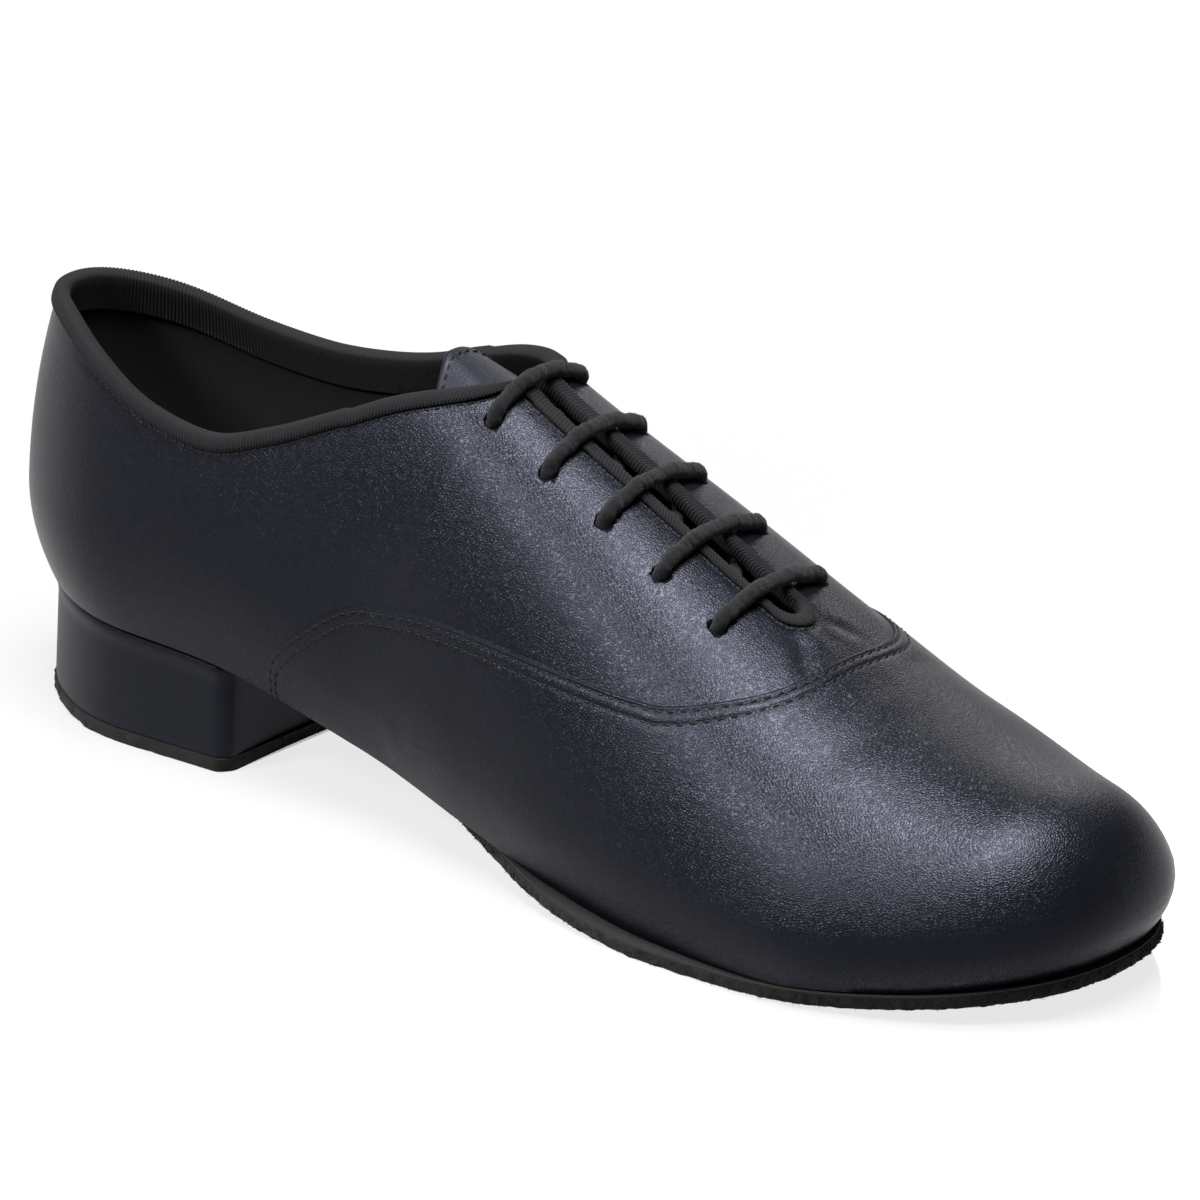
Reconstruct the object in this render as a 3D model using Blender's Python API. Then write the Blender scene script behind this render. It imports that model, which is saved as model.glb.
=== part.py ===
"""Ballroom dance shoe for the left foot, a soft lace-up with a straight-sided covered heel.

The shoe stands on the plane z = 0 with its toe along +X and its outer side along +Y.
Every section of the upper is worked out from the shoe's length, ball width, instep height
and heel height. Units are metres.
"""

from collections import namedtuple

import bmesh
import bpy
import numpy as np

# Driving sizes
SHOE_LENGTH = 0.290
BALL_WIDTH = 0.098
INSTEP_HEIGHT = 0.098
HEEL_HEIGHT = 0.0294
BACK_HEIGHT = 0.0592
UNDERCUT = 0.0050
BELLY_HEIGHT = 0.026
RIDGE_SHIFT = 0.0045
TOE_SPRING = 0.0062
BACK_LEAN = 0.0065
BACK_LEAN_START = 0.016

# Shift that puts the middle of the shoe's box on the origin
CENTRING = (0.0003, -0.0007, 0.0)

# Walls, boards and running gaps
WALL = 0.0016
SEAM_STEP = 0.0005
MARGIN_WIDTH = 0.011
GAP = 0.0003
SOLE_THICKNESS = 0.0030
INSOLE_THICKNESS = 0.0020
TAPE_THICKNESS = 0.0006
TAPE_OUTSIDE = 0.0032
TAPE_INSIDE_COLLAR = 0.0080
TAPE_INSIDE_THROAT = 0.0045
TONGUE_THICKNESS = 0.0018
TONGUE_HALF_WIDTHS = (0.0190, 0.0215, 0.0160)
LACE_DIAMETER = 0.0030
LACE_HOLE_DIAMETER = 0.0048

# Throat, lace rows and seam, in lengths along and across the shoe
THROAT_GAP = 0.0070
LACE_ROWS = 5
LACE_PITCH = 0.0152
HOLE_SPREAD_TOP = 0.0272
HOLE_SPREAD_BOTTOM = 0.0322

# Heel
HEEL_LENGTH = 0.0696
HEEL_CAP_THICKNESS = 0.0032
HEEL_TAPER = 0.0005
HEEL_CORNER = 0.0035
HEEL_RIM = 0.0014
BREAST_HOLLOW = 0.0010

# Shares of the length where the parts of the throat lie
FACING_TOP = 0.470
FACING_FOOT = 0.860
THROAT_END = 0.7100
THROAT_TURN = 0.6960
TONGUE_TOP = 0.413
TONGUE_FRONT = 0.765
FIRST_LACE_ROW = 0.4735

# Roundness of the plan and of the sections
HEEL_ROUND = 0.17
HEEL_POWER = 2.09
TOE_ROUND = 0.19
TOE_POWER = 2.29
NOSE_ROUND = 0.085
NOSE_POWER = 2.35
SIDE_POWER = 2.03
TOP_POWER = 1.93

# Resolution
MERIDIANS = 42
TRACE_STEPS = 120
LOWER_RINGS = 9
UPPER_RINGS = 5

# Sections along the shoe. share: of the length, from the back of the heel. medial, lateral:
# half widths as shares of the ball width. seat: height of the insole's edge as a share of the
# heel height. spring: lift of the toe as a share of the toe spring. crown: top of the section as
# a share of the instep height. undercut: how far the edge lies inside the widest line, belly: the
# height of the widest line above the edge, ridge: sideways place of the top, as shares of the
# named sizes UNDERCUT, BELLY_HEIGHT and RIDGE_SHIFT. fullness: flatness of the top of the
# section, as a share of SIDE_POWER.
Section = namedtuple(
    "Section", "share medial lateral seat spring crown undercut belly ridge fullness"
)
SECTIONS = (
    Section(0.00, 0.303, 0.330, 1.000, 0.00, 1.190, 0.90, 0.72, 0.00, 1.00),
    Section(0.14, 0.352, 0.336, 0.895, 0.00, 1.190, 0.92, 0.88, 0.00, 1.00),
    Section(0.26, 0.344, 0.336, 0.800, 0.00, 1.170, 0.98, 1.00, 0.00, 1.02),
    Section(0.38, 0.330, 0.350, 0.500, 0.00, 1.100, 0.86, 1.00, 0.08, 1.10),
    Section(0.50, 0.377, 0.413, 0.245, 0.00, 0.916, 0.68, 0.88, 0.20, 1.20),
    Section(0.60, 0.432, 0.466, 0.070, 0.00, 0.772, 0.66, 0.74, 0.20, 1.18),
    Section(0.70, 0.472, 0.495, 0.000, 0.00, 0.625, 0.52, 0.62, 0.20, 1.12),
    Section(0.80, 0.491, 0.497, 0.000, 0.06, 0.491, 0.56, 0.58, 0.25, 1.04),
    Section(0.90, 0.449, 0.450, 0.000, 0.42, 0.412, 0.76, 0.54, 0.40, 1.00),
    Section(1.00, 0.408, 0.418, 0.000, 1.00, 0.400, 0.98, 0.50, 0.00, 1.00),
)

# Topline of the quarters. share: of the length. medial, lateral: height above the heel seat
# as shares of the back height.
Topline = namedtuple("Topline", "share medial lateral")
TOPLINE = (
    Topline(0.000, 1.000, 1.000),
    Topline(0.050, 0.995, 0.930),
    Topline(0.120, 0.920, 0.826),
    Topline(0.190, 0.800, 0.798),
    Topline(0.245, 0.760, 0.822),
    Topline(0.300, 0.830, 0.880),
    Topline(0.350, 0.930, 0.966),
    Topline(0.400, 1.035, 1.045),
    Topline(0.440, 1.085, 1.085),
    Topline(0.480, 1.105, 1.105),
)

# Side run of the seam between quarters and vamp. share: of the length, height: above the floor
# as a share of the instep height.
SeamPoint = namedtuple("SeamPoint", "share height")
SEAM_SIDE = (
    SeamPoint(0.280, -0.050),
    SeamPoint(0.296, 0.160),
    SeamPoint(0.308, 0.295),
    SeamPoint(0.325, 0.362),
    SeamPoint(0.342, 0.404),
    SeamPoint(0.361, 0.447),
    SeamPoint(0.385, 0.486),
    SeamPoint(0.420, 0.507),
    SeamPoint(0.480, 0.520),
    SeamPoint(0.545, 0.514),
    SeamPoint(0.600, 0.505),
    SeamPoint(0.650, 0.494),
    SeamPoint(0.700, 0.488),
    SeamPoint(0.760, 0.500),
)
SEAM_FRONT = 0.7505
SEAM_SWEEP = 0.0406
SEAM_HALF_WIDTH = 0.0276
SEAM_FRONT_POWER = 3.4
SEAM_CORNER = 0.004
SEAM_FADE = 0.10

# Plan of the sole. share: of the length, out: how far its edge lies outside the upper's
# edge, as a share of the sole's thickness.
SoleEdge = namedtuple("SoleEdge", "share out")
SOLE_EDGE = (
    SoleEdge(0.20, -1.60),
    SoleEdge(0.30, -1.90),
    SoleEdge(0.42, -1.70),
    SoleEdge(0.49, -1.00),
    SoleEdge(0.55, 0.20),
    SoleEdge(0.61, 1.05),
    SoleEdge(0.68, 1.10),
    SoleEdge(0.76, 0.50),
    SoleEdge(0.84, 0.10),
    SoleEdge(0.92, 0.24),
    SoleEdge(1.00, 0.40),
)

MEDIAL = -1.0
LATERAL = 1.0


def smooth(shares, values, t):
    """A smooth curve through table values, read at t."""
    shares = np.asarray(shares, float)
    values = np.asarray(values, float)
    t = np.clip(t, shares[0], shares[-1])
    slopes = np.gradient(values, shares)
    steps = np.diff(values)
    slopes[1:-1][steps[1:] * steps[:-1] <= 0] = 0
    i = np.clip(np.searchsorted(shares, t) - 1, 0, len(shares) - 2)
    width = shares[i + 1] - shares[i]
    u = (t - shares[i]) / width
    return (
        (2 * u**3 - 3 * u**2 + 1) * values[i]
        + (u**3 - 2 * u**2 + u) * width * slopes[i]
        + (3 * u**2 - 2 * u**3) * values[i + 1]
        + (u**3 - u**2) * width * slopes[i + 1]
    )


def column(table, name):
    return [getattr(row, name) for row in table]


def read(name, t):
    return smooth(column(SECTIONS, "share"), column(SECTIONS, name), t)


def round_end(distance, length, power):
    """1 away from an end, falling to 0 as a quarter of a superellipse."""
    near = np.clip(1 - distance / length, 0, 1)
    return (1 - near**power) ** (1 / power)


def half_width(t, side):
    name = "medial" if side < 0 else "lateral"
    ends = round_end(t, HEEL_ROUND, HEEL_POWER) * round_end(1 - t, TOE_ROUND, TOE_POWER)
    return BALL_WIDTH * read(name, t) * ends


def edge_height(t):
    """Height of the upper's bottom edge, which lies on the sole and on the heel."""
    ground = SOLE_THICKNESS + GAP
    return ground + (HEEL_HEIGHT - ground) * read("seat", t) + TOE_SPRING * read("spring", t)


def section_rise(t):
    nose = round_end(1 - t, NOSE_ROUND, NOSE_POWER)
    return (INSTEP_HEIGHT * read("crown", t) - edge_height(t)) * nose


def ridge(t):
    return -RIDGE_SHIFT * read("ridge", t)


def side_power(t):
    return SIDE_POWER * read("fullness", t)


def along(t):
    return (t - 0.5) * SHOE_LENGTH


def span(t, side):
    """From the ridge to the widest line of one side."""
    return np.maximum(half_width(t, side) - side * ridge(t), 1e-6)


def height_at(t, outward, side):
    """Height of the surface at a distance outward from the ridge."""
    c = np.clip(outward / span(t, side), 0, 1)
    return edge_height(t) + section_rise(t) * (1 - c ** side_power(t)) ** (1 / TOP_POWER)


def outward_at(t, height, side):
    """Distance from the ridge where the surface has this height."""
    rise = np.clip((height - edge_height(t)) / section_rise(t), 0, 1)
    return span(t, side) * (1 - rise**TOP_POWER) ** (1 / side_power(t))


def leaned(t, x, z):
    """The back of the heel leans forward above its widest line."""
    near = np.clip(1 - t / 0.22, 0, 1)
    near = near**2 * (3 - 2 * near)
    rise = BACK_HEIGHT - BACK_LEAN_START
    above = np.clip((z - edge_height(t) - BACK_LEAN_START) / rise, 0, 1.4)
    return x + BACK_LEAN * near * above**2


def inward(t, side):
    """Unit vector in plan that points inward from the widest line."""
    turn = np.arccos(np.clip(1 - 2 * t, -1, 1))
    low = np.clip(turn - 0.01, 0, np.pi)
    high = np.clip(turn + 0.01, 0, np.pi)
    t_low, t_high = (1 - np.cos(low)) / 2, (1 - np.cos(high)) / 2
    dx = along(t_high) - along(t_low)
    dy = half_width(t_high, side) - half_width(t_low, side)
    length = np.hypot(dx, dy)
    x, y = dy / length, -side * dx / length
    x = np.where(t <= 0, 1.0, np.where(t >= 1, -1.0, x))
    y = np.where((t <= 0) | (t >= 1), 0.0, y)
    return x, y


def edge_offset(t):
    return UNDERCUT * read("undercut", t)


def plan_point(t, side, inset):
    """A point of the plan outline, inset from the widest line."""
    x, y = inward(t, side)
    return along(t) + x * inset, side * half_width(t, side) + y * inset


def surface_point(t, across, depth=0.0):
    """A point of the upper's outer surface, across from the ridge, moved in by depth."""
    t = np.asarray(t, float)
    across = np.asarray(across, float)
    side = np.where(across < 0, MEDIAL, LATERAL)

    def raw(t, across):
        medial = height_at(t, np.abs(across), MEDIAL)
        lateral = height_at(t, np.abs(across), LATERAL)
        z = np.where(across < 0, medial, lateral)
        return np.stack([leaned(t, along(t), z), ridge(t) + across, z], -1)

    small = 0.0005
    point = raw(t, across)
    down_length = raw(t + small / SHOE_LENGTH, across) - raw(t - small / SHOE_LENGTH, across)
    sideways = raw(t, across + small) - raw(t, across - small)
    normal = np.cross(down_length, sideways)
    normal /= np.linalg.norm(normal, axis=-1, keepdims=True)
    return point - normal * np.asarray(depth)[..., None] * np.ones_like(side)[..., None], normal


# Meridians of the upper: from its bottom edge up to the collar or the throat


def foot_shares():
    """Shares of the length where the meridians start, close together at the ends of the shoe
    and where the collar turns into the facings."""
    even = (1 - np.cos(np.pi * np.linspace(0, 1, MERIDIANS + 1))) / 2
    turn = FACING_TOP + np.array([-0.030, -0.016, -0.007, 0.001, 0.010, 0.026])
    apart = np.min(np.abs(even[:, None] - turn[None, :]), axis=1) > 0.010
    return np.sort(np.concatenate([even[apart], turn]))


def half_gap(t):
    """Half the throat's width between the cut edges, with a round end."""
    end = np.clip((t - THROAT_TURN) / (THROAT_END - THROAT_TURN), 0, 1)
    grow = np.clip((t - FACING_TOP) / (THROAT_TURN - FACING_TOP), 0, 1)
    full = THROAT_GAP / 2 * (0.80 + 0.20 * np.sin(np.pi * np.clip(grow, 0, 0.8) / 0.8 / 2))
    return full * np.sqrt(1 - end**2)


def opening(t_foot, side):
    """Share of the length and distance from the ridge of the edge that a meridian ends on."""
    on_facing = np.clip((t_foot - FACING_TOP) / (FACING_FOOT - FACING_TOP), 0, 1)
    on_end = np.clip((t_foot - FACING_FOOT) / (1 - FACING_FOOT), 0, 1)
    foot_turn = np.arccos(np.clip(1 - on_end * 2, -1, 1)) / np.pi
    t = np.where(
        t_foot < FACING_TOP,
        t_foot,
        FACING_TOP
        + (THROAT_TURN - FACING_TOP) * on_facing
        + (THROAT_END - THROAT_TURN) * np.sin(foot_turn * np.pi / 2),
    )
    name = "medial" if side < 0 else "lateral"
    lift = smooth(column(TOPLINE, "share"), column(TOPLINE, name), t)
    collar = outward_at(t, HEEL_HEIGHT + BACK_HEIGHT * lift, side)
    collar = np.where(t < TOPLINE[-1].share, collar, 0.0)
    return t, np.hypot(collar, np.where(t > 0.36, half_gap(t), 0.0))


def trace(side):
    """Every meridian of one side as a fine polyline on the outer surface."""
    foot = foot_shares()[:, None]
    t_open, out_open = opening(foot, side)
    run = np.linspace(0, 1, TRACE_STEPS)[None, :] ** 2
    t = foot + run * (t_open - foot)
    start = half_width(foot, side)
    end = side * ridge(t_open) + out_open
    lateral = start + run * (end - start)
    width = np.maximum(half_width(t, side), 1e-6)
    centre = side * ridge(t)
    c = np.clip((lateral - centre) / np.maximum(width - centre, 1e-6), 0, 1)
    # At the back of the heel the sections have no width, so the shape comes from the run alone.
    c_open = np.clip(out_open / span(t_open, side), 0, 1)
    c = np.where(foot < FACING_TOP, 1 - run * (1 - c_open), c)
    z = edge_height(t) + section_rise(t) * (1 - c ** side_power(t)) ** (1 / TOP_POWER)
    tuck = np.clip(1 - (z - edge_height(t)) / (BELLY_HEIGHT * read("belly", foot)), 0, 1) ** 2
    x_in, y_in = inward(foot, side)
    inset = edge_offset(foot) * tuck
    x = leaned(t, along(t), z) + x_in * inset
    y = side * (centre + c * (width - centre)) + y_in * inset
    return np.stack([x, y, z], -1), t


def both_sides(medial, lateral):
    """One closed round of meridians: medial from heel to toe, then lateral back to the heel."""
    return np.concatenate([medial, lateral[-2:0:-1]])


def all_meridians():
    medial, t_medial = trace(MEDIAL)
    lateral, t_lateral = trace(LATERAL)
    lines = both_sides(medial, lateral)
    shares = both_sides(t_medial, t_lateral)
    return lines, shares


def run_lengths(lines):
    steps = np.linalg.norm(np.diff(lines, axis=1), axis=2)
    return np.concatenate([np.zeros((len(lines), 1)), np.cumsum(steps, axis=1)], axis=1)


def points_at(lines, lengths, wanted):
    """Points, or other values, of each meridian at the wanted lengths along it."""
    out = np.empty(wanted.shape + (3,))
    for j in range(len(lines)):
        for axis in range(3):
            out[j, :, axis] = np.interp(wanted[j], lengths[j], lines[j, :, axis])
    return out


def normals_at(lines, lengths, wanted):
    """Outward unit normals of the outer surface at the wanted lengths along the meridians."""
    around = np.roll(lines, -1, axis=0) - np.roll(lines, 1, axis=0)
    normal = np.cross(around, np.gradient(lines, axis=1))
    normal /= np.linalg.norm(normal, axis=2, keepdims=True) + 1e-12
    normal = points_at(normal, lengths, wanted)
    return normal / np.linalg.norm(normal, axis=2, keepdims=True)


def seam_value(t, across, z):
    """Positive on the quarters, negative on the vamp, zero on the seam; in metres."""
    side_line = smooth(column(SEAM_SIDE, "share"), column(SEAM_SIDE, "height"), t)
    above = z - INSTEP_HEIGHT * side_line
    front = SEAM_FRONT - SEAM_SWEEP * (np.abs(across) / SEAM_HALF_WIDTH) ** SEAM_FRONT_POWER
    behind = (front - t) * SHOE_LENGTH
    mix = np.clip(0.5 + 0.5 * (behind - above) / SEAM_CORNER, 0, 1)
    return behind * (1 - mix) + above * mix - SEAM_CORNER * mix * (1 - mix)


def seam_lengths(lines, shares, lengths):
    """Length along each meridian where it crosses the seam, and how far the step has grown."""
    value = seam_value(shares, lines[:, :, 1] - ridge(shares), lines[:, :, 2])
    crossing = np.zeros(len(lines))
    for j in range(len(lines)):
        below = np.nonzero(value[j] < 0)[0]
        if len(below):
            i = min(below[-1], value.shape[1] - 2)
            part = value[j, i] / (value[j, i] - value[j, i + 1] - 1e-12)
            crossing[j] = lengths[j, i] + part * (lengths[j, i + 1] - lengths[j, i])
    total = lengths[:, -1]
    grown = np.clip(crossing / (SEAM_FADE * total), 0, 1)
    highest = total - tape_inside() - 0.002
    return np.clip(crossing, SEAM_FADE * total, highest), grown**2 * (3 - 2 * grown)


def tape_inside():
    """Width of the tape's inner side at each meridian: wide at the collar, narrow at the throat."""
    feet = both_sides(foot_shares(), foot_shares())
    return np.interp(feet, [FACING_TOP - 0.10, FACING_TOP], [TAPE_INSIDE_COLLAR, TAPE_INSIDE_THROAT])


# Mesh helpers


def make_object(name, bm, colour, roughness, metallic=0.0):
    bmesh.ops.recalc_face_normals(bm, faces=bm.faces)
    bmesh.ops.translate(bm, verts=bm.verts, vec=CENTRING)
    mesh = bpy.data.meshes.new(name)
    bm.to_mesh(mesh)
    bm.free()
    mesh.shade_smooth()
    mesh.set_sharp_from_angle(angle=np.radians(40))
    material = bpy.data.materials.new(name)
    material.use_nodes = True
    shader = material.node_tree.nodes["Principled BSDF"]
    shader.inputs["Base Color"].default_value = (*colour, 1.0)
    shader.inputs["Roughness"].default_value = roughness
    shader.inputs["Metallic"].default_value = metallic
    mesh.materials.append(material)
    obj = bpy.data.objects.new(name, mesh)
    bpy.context.scene.collection.objects.link(obj)
    return obj


def add_grid(bm, grid, close_first, close_second):
    """Quads over a grid of points, closed along either index where asked."""
    verts = [[bm.verts.new(point) for point in row] for row in grid.tolist()]
    rows = len(verts) if close_first else len(verts) - 1
    cols = len(verts[0]) if close_second else len(verts[0]) - 1
    for i in range(rows):
        for k in range(cols):
            a, b = verts[i], verts[(i + 1) % len(verts)]
            bm.faces.new((a[k], b[k], b[(k + 1) % len(b)], a[(k + 1) % len(a)]))
    return verts


def plate(name, shares, inset, top, bottom, colour, roughness, back=-SHOE_LENGTH):
    """A board with the shoe's plan, inset from the widest line, between two heights."""
    bm = bmesh.new()
    sides = []
    for side in (MEDIAL, LATERAL):
        x, y = plan_point(shares, side, inset)
        x = np.maximum(x, back)
        t_here = x / SHOE_LENGTH + 0.5
        sides.append(
            [
                np.stack([x, y, bottom(t_here)], -1),
                np.stack([x, y, top(t_here)], -1),
            ]
        )
    medial, lateral = sides
    middle = [(medial[k] + lateral[k]) / 2 for k in (0, 1)]
    loop = np.stack(
        [medial[0], medial[1], middle[1], lateral[1], lateral[0], middle[0]], axis=1
    )
    verts = add_grid(bm, loop, False, True)
    for end in (verts[0], verts[-1]):
        bm.faces.new((end[0], end[1], end[2], end[5]))
        bm.faces.new((end[5], end[2], end[3], end[4]))
    bmesh.ops.remove_doubles(bm, verts=bm.verts, dist=0.00005)
    return make_object(name, bm, colour, roughness)


def tube_along(points, radius, sides, normal):
    """Rings of a round tube along a smooth path."""
    tangent = np.gradient(points, axis=0)
    tangent /= np.linalg.norm(tangent, axis=1, keepdims=True)
    rings = []
    guide = np.array(normal, float)
    for point, direction in zip(points, tangent):
        guide = guide - direction * guide.dot(direction)
        guide /= np.linalg.norm(guide)
        across = np.cross(direction, guide)
        turn = np.arange(sides) * 2 * np.pi / sides
        rings.append(
            point
            + radius * np.cos(turn)[:, None] * guide
            + radius * np.sin(turn)[:, None] * across
        )
    return np.array(rings)


def curve_through(points, per_span):
    """Points of a smooth curve through the given ones, evenly placed on each span."""
    points = np.asarray(points)
    chord = np.linalg.norm(np.diff(points, axis=0), axis=1) ** 0.5
    knots = np.concatenate([[0], np.cumsum(chord)])
    wanted = np.concatenate(
        [
            np.linspace(knots[i], knots[i + 1], per_span, endpoint=False)
            for i in range(len(points) - 1)
        ]
        + [knots[-1:]]
    )
    return np.stack([smooth(knots, points[:, axis], wanted) for axis in range(3)], -1)


# The pieces

LEATHER = (0.012, 0.013, 0.017)
TAPE = (0.010, 0.010, 0.011)
SUEDE = (0.006, 0.006, 0.006)
LINING = (0.008, 0.008, 0.009)
LACE = (0.007, 0.007, 0.010)


def lace_holes():
    """Places of the lace holes: share of the length and distance across from the ridge."""
    rows = np.arange(LACE_ROWS)
    t = FIRST_LACE_ROW + rows * LACE_PITCH / SHOE_LENGTH
    spread = np.interp(rows, [0, LACE_ROWS - 1], [HOLE_SPREAD_TOP, HOLE_SPREAD_BOTTOM])
    return t, spread / 2


def build_upper():
    lines, shares = all_meridians()
    lengths = run_lengths(lines)
    total = lengths[:, -1]
    seam, grown = seam_lengths(lines, shares, lengths)
    ledge = 0.0004
    low = np.linspace(0, 1, LOWER_RINGS) ** 1.5
    high = np.linspace(0, 1, UPPER_RINGS)
    wanted = np.concatenate(
        [
            low[None, :] * (seam - ledge)[:, None],
            seam[:, None] + high[None, :] * (total - tape_inside() - seam)[:, None],
            total[:, None] - TAPE_OUTSIDE,
            total[:, None],
        ],
        axis=1,
    )
    smooth_grid = points_at(lines, lengths, wanted)
    normal = normals_at(lines, lengths, wanted)
    step = np.zeros(wanted.shape)
    step[:, :LOWER_RINGS] = SEAM_STEP * grown[:, None]
    fade = np.clip(wanted / 0.012, 0, 1)
    outer = smooth_grid + normal * (step * fade)[:, :, None]
    inner = smooth_grid - normal * WALL
    edge = outer[:, 0]
    feet = foot_shares()
    inward_x, inward_y = [
        both_sides(inward(feet, MEDIAL)[k], inward(feet, LATERAL)[k]) for k in (0, 1)
    ]
    plan_in = np.stack([inward_x, inward_y, np.zeros_like(inward_x)], -1)
    bottom_lip = edge + plan_in * MARGIN_WIDTH
    bottom_lip[:, 2] = edge_height(bottom_lip[:, 0] / SHOE_LENGTH + 0.5)
    top_lip = bottom_lip + [0, 0, WALL]
    corner = edge + plan_in * WALL * 1.25
    corner[:, 2] = edge_height(corner[:, 0] / SHOE_LENGTH + 0.5) + WALL
    kept = [2, 4, 6] + list(range(LOWER_RINGS + 2, LOWER_RINGS + UPPER_RINGS + 2))
    inside = inner[:, kept][:, ::-1]
    floor_level = corner[:, None, 2] + 0.001
    inside[:, :, 2] = np.maximum(inside[:, :, 2], floor_level)
    loop = np.concatenate(
        [outer, inside, corner[:, None], top_lip[:, None], bottom_lip[:, None]], axis=1
    )
    bm = bmesh.new()
    add_grid(bm, loop, True, True)
    upper = make_object("upper", bm, LEATHER, 0.42)
    cut_lace_holes(upper)
    return lines, lengths


def cut_lace_holes(upper):
    bm = bmesh.new()
    t, out = lace_holes()
    for side in (MEDIAL, LATERAL):
        for share, across in zip(t, out):
            point, normal = surface_point(share, side * across)
            rings = tube_along(
                np.array([point - normal * 3 * WALL, point + normal * 3 * WALL]),
                LACE_HOLE_DIAMETER / 2,
                8,
                (1, 0, 0),
            )
            verts = add_grid(bm, rings, False, True)
            for ring in verts:
                bm.faces.new(ring)
    cutter = make_object("lace_hole_cutter", bm, LEATHER, 0.5)
    cutter.hide_render = True
    cutter.display_type = "WIRE"
    cut = upper.modifiers.new("lace holes", "BOOLEAN")
    cut.operation = "DIFFERENCE"
    cut.object = cutter


def build_binding(lines, lengths):
    """The tape folded over the edge: a strip with a U section round the whole opening."""
    total = lengths[:, -1:]
    reach = np.concatenate(
        [
            tape_inside()[:, None],
            np.full_like(total, TAPE_OUTSIDE),
            np.full_like(total, TAPE_OUTSIDE / 2),
            np.zeros_like(total),
        ],
        axis=1,
    )
    strip = points_at(lines, lengths, total - reach)
    normal = normals_at(lines, lengths, total - reach)
    inner_end, outer_end, middle, edge = (strip[:, k] for k in range(4))
    n_inner, n_outer, n_middle, n_edge = (normal[:, k] for k in range(4))
    beyond = edge - middle
    beyond /= np.linalg.norm(beyond, axis=1, keepdims=True)
    feet = both_sides(foot_shares(), foot_shares())[:, None]
    near = GAP * (1.2 + 1.8 * np.exp(-(((feet - FACING_TOP) / 0.02) ** 2)))
    far = near + TAPE_THICKNESS
    loop = [
        outer_end + n_outer * near,
        outer_end + n_outer * far,
        middle + n_middle * far,
        edge + n_edge * far * 0.9 + beyond * far * 0.3,
        edge + beyond * far - n_edge * WALL * 0.35,
        edge + beyond * far - n_edge * WALL * 0.65,
        edge - n_edge * (WALL + far * 0.9) + beyond * far * 0.3,
        middle - n_middle * (WALL + far),
        inner_end - n_inner * (WALL + far),
        inner_end - n_inner * (WALL + near),
        edge - n_edge * (WALL + near) + beyond * near,
        edge + n_edge * near + beyond * near,
    ]
    bm = bmesh.new()
    add_grid(bm, np.stack(loop, axis=1), True, True)
    make_object("edge_binding", bm, TAPE, 0.8)


def tongue_depth(t):
    """How deep the tongue lies under the upper's outer surface; it rises to the lining in front."""
    under_lace = WALL + 2 * (GAP + TAPE_THICKNESS) + LACE_DIAMETER + 2 * GAP
    under_vamp = WALL + 2 * GAP
    front = np.clip((t - THROAT_END - 0.004) / 0.03, 0, 1)
    back = np.clip((FIRST_LACE_ROW - 0.015 - t) / 0.04, 0, 1)
    rise = front**2 * (3 - 2 * front)
    return under_lace + (under_vamp - under_lace) * rise + TONGUE_THICKNESS * back


def build_tongue():
    rows = 15
    t = TONGUE_TOP + (TONGUE_FRONT - TONGUE_TOP) * np.linspace(0, 1, rows) ** 1.15
    share = np.linspace(-1, 1, 13)
    reach = np.interp(t, [TONGUE_TOP, 0.5, TONGUE_FRONT], TONGUE_HALF_WIDTHS)
    corner = np.clip((t - TONGUE_TOP) / 0.030, 0, 1)
    reach = reach * (0.55 + 0.45 * np.sqrt(1 - (1 - corner) ** 2))
    tt = np.broadcast_to(t[:, None], (rows, len(share)))
    across = reach[:, None] * share[None, :]
    depth = tongue_depth(tt)
    top, _ = surface_point(tt, across, depth)
    bottom, _ = surface_point(tt, across, depth + TONGUE_THICKNESS)
    loop = np.concatenate([top, bottom[:, ::-1]], axis=1)
    bm = bmesh.new()
    verts = add_grid(bm, loop, False, True)
    n = len(share)
    for end in (verts[0], verts[-1]):
        for k in range(n - 1):
            bm.faces.new((end[k], end[k + 1], end[2 * n - 2 - k], end[2 * n - 1 - k]))
    make_object("tongue", bm, LEATHER, 0.45)


def lace_path():
    """The lace's centre line. Each bar rests on the facings, then the lace runs inside to the
    next row. The last run goes back inside the outer facing, so both ends stop at the top row."""
    t, out = lace_holes()
    rest = LACE_DIAMETER / 2 + GAP
    over = GAP + TAPE_THICKNESS + 1.25 * rest
    under = WALL + GAP + TAPE_THICKNESS + 1.15 * rest
    points = []

    def put(share, across, lift):
        points.append(surface_point(share, across, -lift)[0])

    for row in range(LACE_ROWS):
        hole = out[row]
        gap = half_gap(t[row])
        across = (
            (hole, -under),
            (hole, -WALL / 2),
            (hole - 0.0018, 1.05 * rest),
            (gap + TAPE_OUTSIDE + 0.0012, over),
            (gap * 0.6, over),
        )
        for distance, lift in across:
            put(t[row], -distance, lift)
        for distance, lift in reversed(across):
            put(t[row], distance, lift)
        if row < LACE_ROWS - 1:
            for share in (0.25, 0.5, 0.75):
                across = hole + share * (-out[row + 1] - hole)
                put(t[row] + share * (t[row + 1] - t[row]), across, -under)
    beside = LACE_DIAMETER + 2 * GAP
    for row in range(LACE_ROWS - 1, -1, -1):
        put(t[row] - (0.018 if row else 0.002), out[row] + beside, -WALL - 1.6 * rest)
    return np.array(points)


def build_lace():
    points = curve_through(lace_path(), 2)
    rings = tube_along(points, LACE_DIAMETER / 2, 7, (1, 0, 0))
    bm = bmesh.new()
    verts = add_grid(bm, rings, False, True)
    bm.faces.new(verts[0])
    bm.faces.new(verts[-1])
    make_object("lace", bm, LACE, 0.9)


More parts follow.
